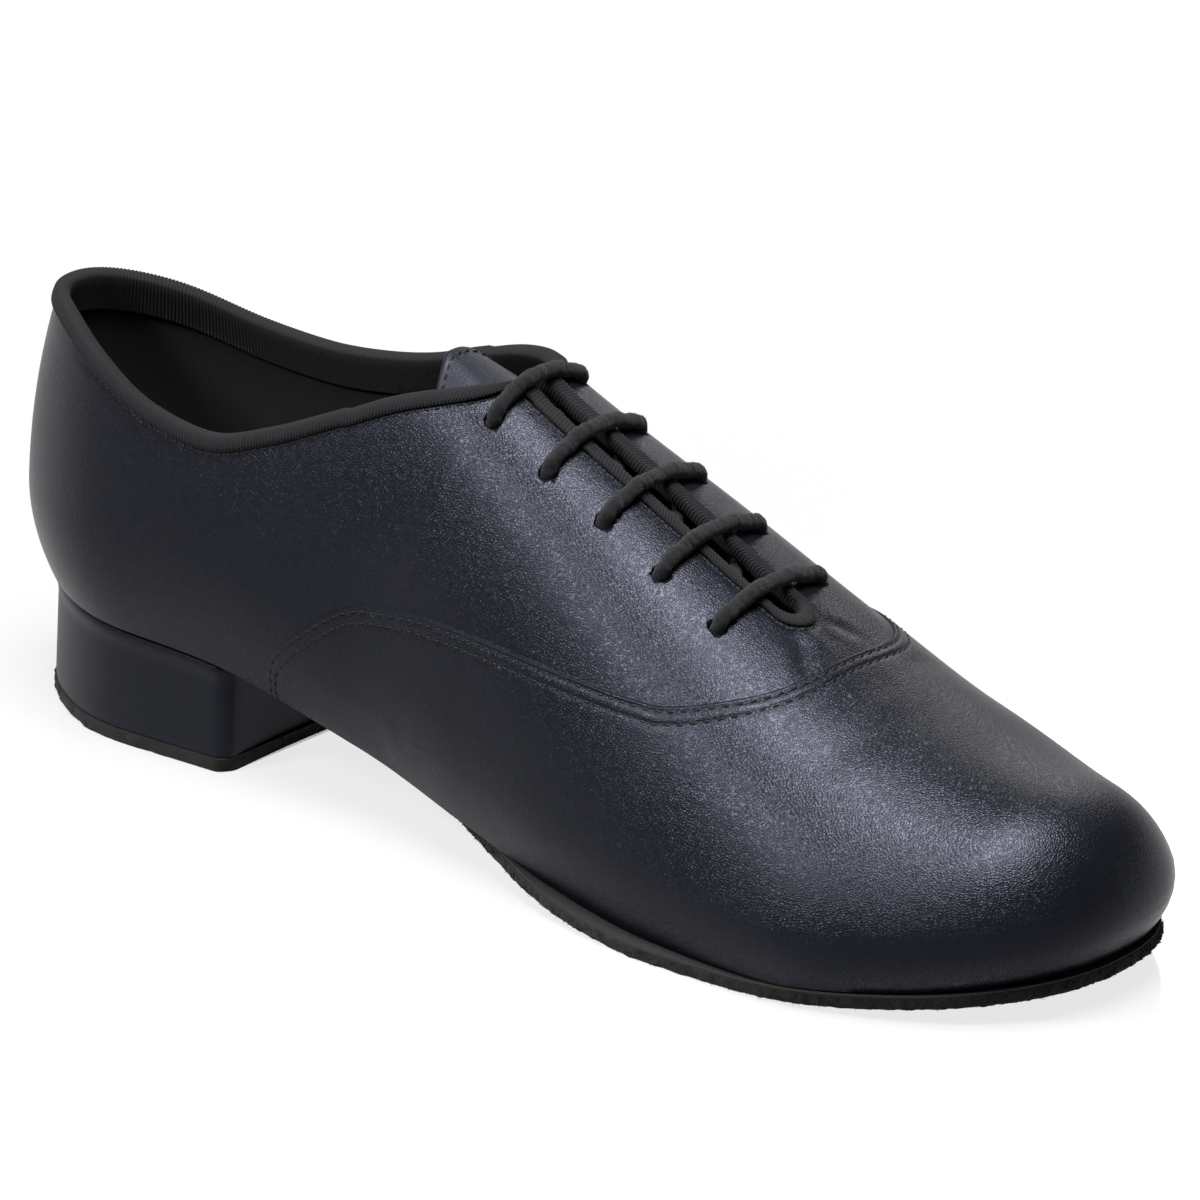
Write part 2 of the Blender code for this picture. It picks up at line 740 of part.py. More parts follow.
def build_insole():
    shares = (1 - np.cos(np.pi * np.linspace(0, 1, 27))) / 2
    inset = edge_offset(shares) + WALL * 2 + GAP
    low = WALL + 1.5 * GAP
    plate(
        "insole",
        shares,
        inset,
        lambda t: edge_height(t) + low + INSOLE_THICKNESS,
        lambda t: edge_height(t) + low,
        LINING,
        0.8,
    )


def build_sole():
    """The suede sole, from the toe to the breast of the heel."""
    back = heel_breast() + 1.5 * GAP
    turn = np.linspace(np.arccos(-2 * back / SHOE_LENGTH), np.pi, 30)
    shares = (1 - np.cos(turn)) / 2
    out = SOLE_THICKNESS * smooth(column(SOLE_EDGE, "share"), column(SOLE_EDGE, "out"), shares)
    plate(
        "sole",
        shares,
        edge_offset(shares) - out,
        lambda t: edge_height(t) - GAP,
        lambda t: edge_height(t) - GAP - SOLE_THICKNESS,
        SUEDE,
        0.95,
        back,
    )


def heel_breast():
    """Where the flat front of the heel lies."""
    return along(0.0) + edge_offset(0.0) + HEEL_LENGTH


def heel_plan(inset, points=18):
    """Half outlines of the heel with a flat breast, from the back to the breast's middle."""
    breast = heel_breast()
    front = (breast - along(0.0) - HEEL_CORNER) / SHOE_LENGTH
    turn = np.linspace(0, np.arccos(1 - 2 * front), points)
    shares = (1 - np.cos(turn)) / 2
    halves = []
    for side in (MEDIAL, LATERAL):
        x, y = plan_point(shares, side, edge_offset(shares) + inset)
        y_end = abs(y[-1])
        bend = np.radians([30, 60, 90])
        corner_x = x[-1] + (breast - x[-1]) * np.sin(bend)
        corner_y = side * (y_end - HEEL_CORNER * (1 - np.cos(bend)))
        middle_y = corner_y[-1] * np.array([0.5])
        middle_x = np.array([breast - BREAST_HOLLOW])
        halves.append((np.concatenate([x, corner_x, middle_x]),
                       np.concatenate([y, corner_y, middle_y])))
    return halves


def heel_solid(name, levels, colour, roughness):
    """Stacked outlines; each level is an inset and a function or number for its height."""
    bm = bmesh.new()
    rows = []
    for inset, height in levels:
        halves = []
        for x, y in heel_plan(inset):
            z = height(x / SHOE_LENGTH + 0.5) if callable(height) else np.full_like(x, height)
            halves.append([bm.verts.new(point) for point in zip(x, y, z)])
        rows.append(halves)
    for lower, upper in zip(rows, rows[1:]):
        for half in (0, 1):
            a, b = lower[half], upper[half]
            for k in range(len(a) - 1):
                bm.faces.new((a[k], a[k + 1], b[k + 1], b[k]))
        bm.faces.new((lower[0][-1], lower[1][-1], upper[1][-1], upper[0][-1]))
    for medial, lateral in (rows[0], rows[-1]):
        for k in range(len(medial) - 1):
            bm.faces.new((medial[k], medial[k + 1], lateral[k + 1], lateral[k]))
    bmesh.ops.remove_doubles(bm, verts=bm.verts, dist=0.00005)
    return make_object(name, bm, colour, roughness)


def build_heel():
    def seat(drop):
        return lambda t: edge_height(t) - GAP - drop

    cap_top = HEEL_CAP_THICKNESS
    heel_solid(
        "heel_block",
        [
            (HEEL_TAPER, cap_top + GAP),
            (3 * HEEL_TAPER, seat(4 * HEEL_RIM)),
            (2 * HEEL_TAPER, seat(1.8 * HEEL_RIM)),
            (2.6 * HEEL_TAPER, seat(0.6 * HEEL_RIM)),
            (2 * HEEL_TAPER + HEEL_RIM, seat(0.0)),
        ],
        LEATHER,
        0.5,
    )
    heel_solid(
        "heel_cap",
        [
            (HEEL_TAPER + 0.0003, 0.0),
            (HEEL_TAPER - 0.0004, cap_top * 0.5),
            (HEEL_TAPER, cap_top),
        ],
        SUEDE,
        0.95,
    )


def main():
    for obj in list(bpy.data.objects):
        bpy.data.objects.remove(obj)
    lines, lengths = build_upper()
    build_binding(lines, lengths)
    build_tongue()
    build_insole()
    build_sole()
    build_heel()
    build_lace()


main()
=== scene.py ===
"""Ballroom dance shoe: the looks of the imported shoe, built piece by piece in the order a maker
puts the shoe together. Units are metres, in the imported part's own frame."""

import math
from collections import namedtuple

import bmesh
import bpy
import numpy as np
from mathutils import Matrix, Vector


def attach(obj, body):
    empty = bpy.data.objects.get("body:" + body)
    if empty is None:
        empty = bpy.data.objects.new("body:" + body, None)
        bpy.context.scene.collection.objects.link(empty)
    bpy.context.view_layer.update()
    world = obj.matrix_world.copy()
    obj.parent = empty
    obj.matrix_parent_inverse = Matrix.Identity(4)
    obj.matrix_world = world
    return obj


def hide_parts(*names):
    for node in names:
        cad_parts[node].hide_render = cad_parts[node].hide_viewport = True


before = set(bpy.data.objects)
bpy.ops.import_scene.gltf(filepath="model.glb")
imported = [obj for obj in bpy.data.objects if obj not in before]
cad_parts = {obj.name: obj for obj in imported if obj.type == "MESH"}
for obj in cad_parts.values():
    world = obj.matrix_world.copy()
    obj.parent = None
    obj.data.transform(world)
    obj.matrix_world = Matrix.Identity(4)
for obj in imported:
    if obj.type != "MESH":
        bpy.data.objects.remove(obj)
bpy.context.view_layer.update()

# Studio. The photograph's own view, from the toe end of the inner side and a little above, on
# a plain white floor under a broad overhead softbox and three weaker ones.

VIEW_AZIMUTH = math.radians(40.26)
VIEW_ELEVATION = math.radians(20.77)
VIEW_DISTANCE = 1.5055
VIEW_TARGET = Vector((0.00853, -0.0007, 0.0504))
LENS_MM = 222.4


def linear(hex_colour):
    """An sRGB hex colour as linear RGBA."""
    channels = [int(hex_colour[i:i + 2], 16) / 255 for i in (1, 3, 5)]
    return tuple(
        c / 12.92 if c <= 0.04045 else ((c + 0.055) / 1.055) ** 2.4 for c in channels
    ) + (1.0,)


def add_node(tree, kind, settings=(), inputs=()):
    """Adds a node, sets its properties and sets or links its inputs."""
    node = tree.nodes.new(kind)
    for name, value in dict(settings).items():
        setattr(node, name, value)
    for name, value in dict(inputs).items():
        if isinstance(value, bpy.types.NodeSocket):
            tree.links.new(value, node.inputs[name])
        else:
            node.inputs[name].default_value = value
    return node


def new_material(name):
    """An empty node material and its tree."""
    material = bpy.data.materials.new(name)
    material.use_nodes = True
    material.node_tree.nodes.clear()
    return material, material.node_tree


def finish_material(tree, inputs):
    """Ends a material in one Principled shader."""
    shader = add_node(tree, "ShaderNodeBsdfPrincipled", {}, inputs)
    add_node(tree, "ShaderNodeOutputMaterial", {}, {"Surface": shader.outputs["BSDF"]})


def outward_from_shoe(azimuth, elevation):
    """The direction to a camera or light. Azimuth 0 is out from the inner side and 90 degrees
    is out from the toe."""
    return Vector((
        math.sin(azimuth) * math.cos(elevation),
        -math.cos(azimuth) * math.cos(elevation),
        math.sin(elevation),
    ))


camera_data = bpy.data.cameras.new("camera")
camera_data.lens = LENS_MM
camera_data.sensor_width = 36.0
camera_data.clip_start = 0.05
camera_data.clip_end = 20.0
camera = bpy.data.objects.new("camera", camera_data)
bpy.context.scene.collection.objects.link(camera)
look = -outward_from_shoe(VIEW_AZIMUTH, VIEW_ELEVATION)
camera.location = VIEW_TARGET - look * VIEW_DISTANCE
camera.rotation_mode = "QUATERNION"
camera.rotation_quaternion = look.to_track_quat("-Z", "Y")
bpy.context.scene.camera = camera

FLOOR_HALF = 12.0
floor_mesh = bpy.data.meshes.new("studio_floor")
floor_mesh.from_pydata(
    [(-FLOOR_HALF, -FLOOR_HALF, 0), (FLOOR_HALF, -FLOOR_HALF, 0),
     (FLOOR_HALF, FLOOR_HALF, 0), (-FLOOR_HALF, FLOOR_HALF, 0)],
    [], [(0, 1, 2, 3)],
)
floor = bpy.data.objects.new("studio_floor", floor_mesh)
bpy.context.scene.collection.objects.link(floor)
# Acrylic sheet lit from behind: even white, with a faint soft mirror image near the shoe.
white_board, tree = new_material("back_lit_white_acrylic")
place = add_node(tree, "ShaderNodeTexCoord").outputs["Object"]
from_shoe = add_node(tree, "ShaderNodeVectorMath", {"operation": "LENGTH"}, {0: place})
glow = add_node(tree, "ShaderNodeMapRange", {"interpolation_type": "SMOOTHSTEP"}, {
    "Value": from_shoe.outputs["Value"], "From Min": 0.15, "From Max": 0.75,
    "To Min": 0.78, "To Max": 0.98,
})
finish_material(tree, {
    "Base Color": linear("#424244"),
    "Roughness": 0.12,
    "IOR": 1.45,
    "Emission Color": linear("#ffffff"),
    "Emission Strength": glow.outputs["Result"],
})
floor_mesh.materials.append(white_board)

MIDDLE_OF_SHOE = Vector((0.0, 0.0, 0.05))
Softbox = namedtuple("Softbox", "name azimuth elevation distance size watts")
SOFTBOXES = (
    Softbox("overhead_softbox", 50.0, 80.0, 1.25, 0.56, 60.0),
    Softbox("inner_side_softbox", -27.0, 42.0, 1.20, 0.24, 21.0),
    Softbox("toe_softbox", 38.0, 60.0, 1.20, 0.26, 6.0),
    Softbox("outer_side_softbox", -158.0, 24.0, 1.40, 0.50, 3.2),
)
for box in SOFTBOXES:
    lamp = bpy.data.lights.new(box.name, "AREA")
    lamp.shape = "SQUARE"
    lamp.size = box.size
    lamp.energy = box.watts
    holder = bpy.data.objects.new(box.name, lamp)
    place = outward_from_shoe(math.radians(box.azimuth), math.radians(box.elevation))
    place *= box.distance
    holder.location = place + MIDDLE_OF_SHOE
    holder.rotation_mode = "QUATERNION"
    holder.rotation_quaternion = (-place).to_track_quat("-Z", "Y")
    bpy.context.scene.collection.objects.link(holder)

studio = bpy.data.worlds.new("studio")
bpy.context.scene.world = studio
studio.use_nodes = True
studio.node_tree.nodes.clear()
backdrop = add_node(studio.node_tree, "ShaderNodeBackground", {}, {
    "Color": linear("#ffffff"),
    "Strength": 0.10,
})
add_node(studio.node_tree, "ShaderNodeOutputWorld", {}, {"Surface": backdrop.outputs[0]})
bpy.context.scene.view_settings.view_transform = "Standard"

# Upper. Quarters and vamp of soft black leather, pulled over the last as one shell; the vamp
# laps over the quarters in a raised seam. The shell is turned in under the insole, and its
# creases are pressed in one by one.

SHOE_LENGTH = 0.290
BALL_WIDTH = 0.098
INSTEP_HEIGHT = 0.098
HEEL_HEIGHT = 0.0294
BACK_HEIGHT = 0.0592
UNDERCUT = 0.0050
BELLY_HEIGHT = 0.026
RIDGE_SHIFT = 0.0045
TOE_SPRING = 0.0062
BACK_LEAN = 0.0065
BACK_LEAN_START = 0.016
BACK_LEAN_END = 0.22
CENTRING = np.array((0.0003, -0.0007, 0.0))
WALL = 0.0016
SEAM_STEP = 0.0005
MARGIN_WIDTH = 0.011
GAP = 0.0003
SOLE_THICKNESS = 0.0030
THROAT_GAP = 0.0070
THROAT_WIDEST = 0.8
COLLAR_ONLY = 0.36
FACING_TOP = 0.470
FACING_FOOT = 0.860
THROAT_END = 0.7100
THROAT_TURN = 0.6960
HEEL_ROUND = 0.17
HEEL_POWER = 2.09
TOE_ROUND = 0.19
TOE_POWER = 2.29
NOSE_ROUND = 0.085
NOSE_POWER = 2.35
SIDE_POWER = 2.03
TOP_POWER = 1.93
MEDIAL = -1.0
LATERAL = 1.0

Section = namedtuple(
    "Section", "share medial lateral seat spring crown undercut belly ridge fullness"
)
SECTIONS = (
    Section(0.00, 0.303, 0.330, 1.000, 0.00, 1.190, 0.90, 0.72, 0.00, 1.00),
    Section(0.14, 0.352, 0.336, 0.895, 0.00, 1.190, 0.92, 0.88, 0.00, 1.00),
    Section(0.26, 0.344, 0.336, 0.800, 0.00, 1.170, 0.98, 1.00, 0.00, 1.02),
    Section(0.38, 0.330, 0.350, 0.500, 0.00, 1.100, 0.86, 1.00, 0.08, 1.10),
    Section(0.50, 0.377, 0.413, 0.245, 0.00, 0.916, 0.68, 0.88, 0.20, 1.20),
    Section(0.60, 0.432, 0.466, 0.070, 0.00, 0.772, 0.66, 0.74, 0.20, 1.18),
    Section(0.70, 0.472, 0.495, 0.000, 0.00, 0.625, 0.52, 0.62, 0.20, 1.12),
    Section(0.80, 0.491, 0.497, 0.000, 0.06, 0.491, 0.56, 0.58, 0.25, 1.04),
    Section(0.90, 0.449, 0.450, 0.000, 0.42, 0.412, 0.76, 0.54, 0.40, 1.00),
    Section(1.00, 0.408, 0.418, 0.000, 1.00, 0.400, 0.98, 0.50, 0.00, 1.00),
)
Topline = namedtuple("Topline", "share medial lateral")
TOPLINE = (
    Topline(0.000, 1.000, 1.000),
    Topline(0.050, 0.995, 0.930),
    Topline(0.120, 0.920, 0.826),
    Topline(0.190, 0.800, 0.798),
    Topline(0.245, 0.760, 0.822),
    Topline(0.300, 0.830, 0.880),
    Topline(0.350, 0.930, 0.966),
    Topline(0.400, 1.035, 1.045),
    Topline(0.440, 1.085, 1.085),
    Topline(0.480, 1.105, 1.105),
)
SeamPoint = namedtuple("SeamPoint", "share height")
SEAM_SIDE = (
    SeamPoint(0.280, -0.050),
    SeamPoint(0.296, 0.160),
    SeamPoint(0.308, 0.295),
    SeamPoint(0.325, 0.362),
    SeamPoint(0.342, 0.404),
    SeamPoint(0.361, 0.447),
    SeamPoint(0.385, 0.486),
    SeamPoint(0.420, 0.507),
    SeamPoint(0.480, 0.520),
    SeamPoint(0.545, 0.514),
    SeamPoint(0.600, 0.505),
    SeamPoint(0.650, 0.494),
    SeamPoint(0.700, 0.488),
    SeamPoint(0.760, 0.500),
)
SEAM_FRONT = 0.7505
SEAM_SWEEP = 0.0406
SEAM_HALF_WIDTH = 0.0276
SEAM_FRONT_POWER = 3.4
SEAM_CORNER = 0.004

COLUMN_SPACING = 0.0017
SEAM_RISES_AT = 0.295
FINE_SAMPLES = 4000
TRACE_STEPS = 160
LOW_RINGS = 34
HIGH_RINGS = 30
INNER_RINGS = 20
SEAM_RINGS_MM = (
    -4.8, -4.1, -3.8, -3.6, -3.4, -3.2, -2.8, -2.2, -1.7, -1.45, -1.25, -1.05, -0.8, -0.6,
    -0.45, -0.3, -0.15, 0.0, 0.12, 0.35, 0.9, 2.0,
)
ROW_FROM_EDGE = 0.00125
ROWS_APART = 0.0023
ROW_SINK = 0.00016
ROW_SINK_WIDTH = 0.00035
PUFF_BETWEEN_ROWS = 0.00010
LAP_RAMP = 0.00045
LAP_FADE = 0.012
PULL_WIDTH = 0.0006
TAPE_ROW = 0.0034
TAPE_ROW_SINK = 0.00018
SEAM_ABOVE_FOOT = 0.0065
SEAM_BELOW_EDGE = 0.009


def smooth(shares, values, t):
    """A smooth curve through table values, read at t."""
    shares = np.asarray(shares, float)
    values = np.asarray(values, float)
    t = np.clip(t, shares[0], shares[-1])
    slopes = np.gradient(values, shares)
    steps = np.diff(values)
    slopes[1:-1][steps[1:] * steps[:-1] <= 0] = 0
    i = np.clip(np.searchsorted(shares, t) - 1, 0, len(shares) - 2)
    width = shares[i + 1] - shares[i]
    u = (t - shares[i]) / width
    return (
        (2 * u**3 - 3 * u**2 + 1) * values[i]
        + (u**3 - 2 * u**2 + u) * width * slopes[i]
        + (3 * u**2 - 2 * u**3) * values[i + 1]
        + (u**3 - u**2) * width * slopes[i + 1]
    )


def column(table, name):
    return [getattr(row, name) for row in table]


def side_name(side):
    return "medial" if side < 0 else "lateral"


def bell(distance, width):
    """1 at no distance, falling smoothly to nearly 0 at two widths."""
    return np.exp(-((distance / width) ** 2))


def unit(vectors):
    return vectors / np.linalg.norm(vectors, axis=-1, keepdims=True)


def bunched(start, end, count):
    """Shares of the length between two angles of a half turn, close together at its ends."""
    return (1 - np.cos(np.linspace(start, end, count))) / 2


def read(name, t):
    return smooth(column(SECTIONS, "share"), column(SECTIONS, name), t)


def ease(value):
    """0 below 0, 1 above 1, and smooth between."""
    value = np.clip(value, 0, 1)
    return value * value * (3 - 2 * value)


def round_end(distance, length, power):
    near = np.clip(1 - distance / length, 0, 1)
    return (1 - near**power) ** (1 / power)


def half_width(t, side):
    ends = round_end(t, HEEL_ROUND, HEEL_POWER) * round_end(1 - t, TOE_ROUND, TOE_POWER)
    return BALL_WIDTH * read(side_name(side), t) * ends


def edge_height(t):
    """Height of the upper's bottom edge, on the sole and on the heel."""
    ground = SOLE_THICKNESS + GAP
    return ground + (HEEL_HEIGHT - ground) * read("seat", t) + TOE_SPRING * read("spring", t)


def section_rise(t):
    nose = round_end(1 - t, NOSE_ROUND, NOSE_POWER)
    return (INSTEP_HEIGHT * read("crown", t) - edge_height(t)) * nose


def ridge(t):
    return -RIDGE_SHIFT * read("ridge", t)


def side_power(t):
    return SIDE_POWER * read("fullness", t)


def along(t):
    return (t - 0.5) * SHOE_LENGTH


def share_of(x):
    return x / SHOE_LENGTH + 0.5


def span(t, side):
    return np.maximum(half_width(t, side) - side * ridge(t), 1e-6)


def height_at(t, outward, side):
    c = np.clip(outward / span(t, side), 0, 1)
    return edge_height(t) + section_rise(t) * (1 - c ** side_power(t)) ** (1 / TOP_POWER)


def outward_at(t, height, side):
    rise = np.clip((height - edge_height(t)) / section_rise(t), 0, 1)
    return span(t, side) * (1 - rise**TOP_POWER) ** (1 / side_power(t))


def leaned(t, x, z):
    """The back of the heel leans forward above its widest line."""
    near = ease(1 - t / BACK_LEAN_END)
    rise = BACK_HEIGHT - BACK_LEAN_START
    above = np.clip((z - edge_height(t) - BACK_LEAN_START) / rise, 0, 1.4)
    return x + BACK_LEAN * near * above**2


def inward(t, side):
    """Unit vector in plan that points inward from the widest line."""
    turn = np.arccos(np.clip(1 - 2 * t, -1, 1))
    low = np.clip(turn - 0.01, 0, np.pi)
    high = np.clip(turn + 0.01, 0, np.pi)
    t_low, t_high = (1 - np.cos(low)) / 2, (1 - np.cos(high)) / 2
    dx = along(t_high) - along(t_low)
    dy = half_width(t_high, side) - half_width(t_low, side)
    length = np.hypot(dx, dy)
    x, y = dy / length, -side * dx / length
    x = np.where(t <= 0, 1.0, np.where(t >= 1, -1.0, x))
    y = np.where((t <= 0) | (t >= 1), 0.0, y)
    return x, y


def edge_offset(t):
    return UNDERCUT * read("undercut", t)


def surface_point(t, across, depth=0.0):
    """A point of the upper's outer surface and its normal, across from the ridge."""
    t, across = np.broadcast_arrays(np.asarray(t, float), np.asarray(across, float))

    def raw(t, across):
        medial = height_at(t, np.abs(across), MEDIAL)
        lateral = height_at(t, np.abs(across), LATERAL)
        z = np.where(across < 0, medial, lateral)
        return np.stack([leaned(t, along(t), z), ridge(t) + across, z], -1)

    small = 0.0005
    down_length = raw(t + small / SHOE_LENGTH, across) - raw(t - small / SHOE_LENGTH, across)
    sideways = raw(t, across + small) - raw(t, across - small)
    normal = unit(np.cross(down_length, sideways))
    return raw(t, across) - normal * np.asarray(depth, float)[..., None], normal


def column_shares():
    """Where the fine columns start along the length: evenly round the plan, closer together
    where the seam runs up the side and where the collar turns into the facings."""
    fine = bunched(0, np.pi, FINE_SAMPLES)
    x, y = along(fine), half_width(fine, MEDIAL)
    steps = np.hypot(np.diff(x), np.diff(y))
    middle = (fine[1:] + fine[:-1]) / 2
    denser = 1 + 3.5 * np.exp(-(((middle - SEAM_RISES_AT) / 0.016) ** 4))
    denser += 2.0 * bell(middle - FACING_TOP, 0.015)
    walked = np.concatenate([[0], np.cumsum(steps * denser)])
    count = int(walked[-1] / COLUMN_SPACING)
    return np.interp(np.linspace(0, walked[-1], count + 1), walked, fine)


def half_gap(t):
    """Half the throat's width between the cut edges, with a round end."""
    end = np.clip((t - THROAT_TURN) / (THROAT_END - THROAT_TURN), 0, 1)
    grow = np.clip((t - FACING_TOP) / (THROAT_TURN - FACING_TOP), 0, 1)
    widening = np.sin(np.pi * np.clip(grow, 0, THROAT_WIDEST) / THROAT_WIDEST / 2)
    full = THROAT_GAP / 2 * (0.80 + 0.20 * widening)
    return full * np.sqrt(1 - end**2)


def opening(t_foot, side):
    """Where a column ends on the collar, the facing or the throat's round end."""
    on_facing = np.clip((t_foot - FACING_TOP) / (FACING_FOOT - FACING_TOP), 0, 1)
    on_end = np.clip((t_foot - FACING_FOOT) / (1 - FACING_FOOT), 0, 1)
    foot_turn = np.arccos(np.clip(1 - on_end * 2, -1, 1)) / np.pi
    on_throat = (
        FACING_TOP
        + (THROAT_TURN - FACING_TOP) * on_facing
        + (THROAT_END - THROAT_TURN) * np.sin(foot_turn * np.pi / 2)
    )
    t = np.where(t_foot < FACING_TOP, t_foot, on_throat)
    lift = smooth(column(TOPLINE, "share"), column(TOPLINE, side_name(side)), t)
    collar = outward_at(t, HEEL_HEIGHT + BACK_HEIGHT * lift, side)
    collar = np.where(t < TOPLINE[-1].share, collar, 0.0)
    return t, np.hypot(collar, np.where(t > COLLAR_ONLY, half_gap(t), 0.0))


def trace(feet, side):
    """Every column of one side as a fine line on the last, from the bottom edge up."""
    foot = feet[:, None]
    t_open, out_open = opening(foot, side)
    run = np.linspace(0, 1, TRACE_STEPS)[None, :] ** 2
    t = foot + run * (t_open - foot)
    start = half_width(foot, side)
    end = side * ridge(t_open) + out_open
    lateral = start + run * (end - start)
    width = np.maximum(half_width(t, side), 1e-6)
    centre = side * ridge(t)
    c = np.clip((lateral - centre) / np.maximum(width - centre, 1e-6), 0, 1)
    c_open = np.clip(out_open / span(t_open, side), 0, 1)
    c = np.where(foot < FACING_TOP, 1 - run * (1 - c_open), c)
    z = edge_height(t) + section_rise(t) * (1 - c ** side_power(t)) ** (1 / TOP_POWER)
    tuck = np.clip(1 - (z - edge_height(t)) / (BELLY_HEIGHT * read("belly", foot)), 0, 1) ** 2
    x_in, y_in = inward(foot, side)
    inset = edge_offset(foot) * tuck
    x = leaned(t, along(t), z) + x_in * inset
    y = side * (centre + c * (width - centre)) + y_in * inset
    return np.stack([x, y, z, t], -1)


def both_sides(medial, lateral):
    """One closed round of columns: inner side from heel to toe, then outer side back."""
    return np.concatenate([medial, lateral[-2:0:-1]])


def values_at(lines, lengths, wanted):
    """Values of each column at the wanted lengths along it."""
    out = np.empty(wanted.shape + (lines.shape[2],))
    for j in range(len(lines)):
        for axis in range(lines.shape[2]):
            out[j, :, axis] = np.interp(wanted[j], lengths[j], lines[j, :, axis])
    return out


def seam_value(t, across, z):
    """Positive on the quarters, negative on the vamp, zero on the seam."""
    side_line = smooth(column(SEAM_SIDE, "share"), column(SEAM_SIDE, "height"), t)
    above = z - INSTEP_HEIGHT * side_line
    front = SEAM_FRONT - SEAM_SWEEP * (np.abs(across) / SEAM_HALF_WIDTH) ** SEAM_FRONT_POWER
    behind = (front - t) * SHOE_LENGTH
    mix = np.clip(0.5 + 0.5 * (behind - above) / SEAM_CORNER, 0, 1)
    return behind * (1 - mix) + above * mix - SEAM_CORNER * mix * (1 - mix)


def grid_normals(points):
    """Unit normals of a grid of points that is closed along its first index."""
    around = np.roll(points, -1, axis=0) - np.roll(points, 1, axis=0)
    normal = np.cross(around, np.gradient(points, axis=1))
    return normal / (np.linalg.norm(normal, axis=2, keepdims=True) + 1e-12)


def seam_distance(points, shares):
    """Distance over the surface to the seam, negative on the vamp."""
    value = seam_value(shares, points[:, :, 1] - ridge(shares), points[:, :, 2])
    a = (np.roll(points, -1, axis=0) - np.roll(points, 1, axis=0)) / 2
    b = np.gradient(points, axis=1)
    va = (np.roll(value, -1, axis=0) - np.roll(value, 1, axis=0)) / 2
    vb = np.gradient(value, axis=1)
    aa, bb, ab = (a * a).sum(2), (b * b).sum(2), (a * b).sum(2)
    slope = (va * va * bb - 2 * va * vb * ab + vb * vb * aa) / (aa * bb - ab * ab + 1e-20)
    return value / np.sqrt(np.clip(slope, 0.25, 9.0))


def segment_distance(points, path):
    """Distance of points to a path, and how far along it the nearest place lies."""
    best = np.full(points.shape[:-1], 1e9)
    where = np.zeros(points.shape[:-1])
    for k in range(len(path) - 1):
        start, step = path[k], path[k + 1] - path[k]
        u = np.clip(((points - start) @ step) / step.dot(step), 0, 1)
        away = np.linalg.norm(points - start - u[..., None] * step, axis=-1)
        nearer = away < best
        best = np.where(nearer, away, best)
        where = np.where(nearer, (k + u) / (len(path) - 1), where)
    return best, where


# Creases and soft folds. path: pairs of share of the length and millimetres across from the
# ridge, sink: depth in millimetres, negative for a ridge, width: half width in millimetres.
Fold = namedtuple("Fold", "path sink width")
FOLDS = (
    Fold(((0.722, -5.0), (0.738, -9.0), (0.752, -12.0)), 0.30, 1.9),
    Fold(((0.716, 4.5), (0.728, 7.0), (0.742, 9.0)), 0.25, 1.7),
    Fold(((0.712, -1.0), (0.726, -2.0), (0.740, -3.0)), -0.35, 2.2),
    Fold(((0.360, -34.5), (0.385, -36.5), (0.405, -38.0)), 0.45, 3.0),
    Fold(((0.420, -33.0), (0.400, -37.0)), 0.40, 2.6),
    Fold(((0.445, -33.0), (0.428, -38.0)), 0.32, 2.4),
    Fold(((0.435, -30.0), (0.455, -24.0), (0.470, -17.0)), -0.30, 3.0),
    Fold(((0.760, -20.0), (0.775, -8.0), (0.780, 6.0)), 0.22, 3.2),
    Fold(((0.790, -26.0), (0.812, -12.0), (0.815, 4.0)), 0.25, 3.8),
    Fold(((0.775, 10.0), (0.760, 24.0)), 0.20, 3.0),
)


def fold_lift(points):
    """How far the folds move the surface outward."""
    lift = np.zeros(points.shape[:-1])
    for fold in FOLDS:
        shares, across = np.array(fold.path).T
        path, _ = surface_point(shares, across * 0.001)
        away, where = segment_distance(points, path)
        width = fold.width * 0.001
        taper = np.sin(np.pi * np.clip(where, 0.04, 0.96)) ** 0.8
        trough = bell(away, width)
        shoulder = 0.35 * bell(away - 1.9 * width, width)
        lift -= fold.sink * 0.001 * taper * (trough - shoulder)
    return lift


def grid_faces(rows, cols, close_rows, close_cols, first=0):
    """Quads over a grid of points, closed along either index where asked."""
    i = np.arange(rows if close_rows else rows - 1)[:, None]
    k = np.arange(cols if close_cols else cols - 1)[None, :]
    a, b = i * cols, ((i + 1) % rows) * cols
    right = (k + 1) % cols
    return (np.stack([a + k, b + k, b + right, a + right], -1) + first).reshape(-1, 4)


def make_piece(name, points, faces, materials, marks=None, sharp=50.0, uv=None):
    """A piece from points and faces, moved into the part's frame, riding on the shoe."""
    mesh = bpy.data.meshes.new(name)
    moved = np.asarray(points, float).reshape(-1, 3) + CENTRING
    mesh.from_pydata(moved.tolist(), [], [tuple(face) for face in faces])
    for material in materials:
        mesh.materials.append(material)
    if marks is not None:
        mesh.polygons.foreach_set("material_index", np.asarray(marks, np.int32))
    if uv is not None:
        corners = np.empty(len(mesh.loops), np.int32)
        mesh.loops.foreach_get("vertex_index", corners)
        layer = mesh.uv_layers.new(name="along_and_round")
        layer.data.foreach_set("uv", np.asarray(uv, np.float32)[corners].ravel())
    bm = bmesh.new()
    bm.from_mesh(mesh)
    bmesh.ops.recalc_face_normals(bm, faces=bm.faces)
    bm.to_mesh(mesh)
    bm.free()
    mesh.shade_smooth()
    mesh.set_sharp_from_angle(angle=math.radians(sharp))
    piece = bpy.data.objects.new(name, mesh)
    bpy.context.scene.collection.objects.link(piece)
    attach(piece, "root")
    return piece


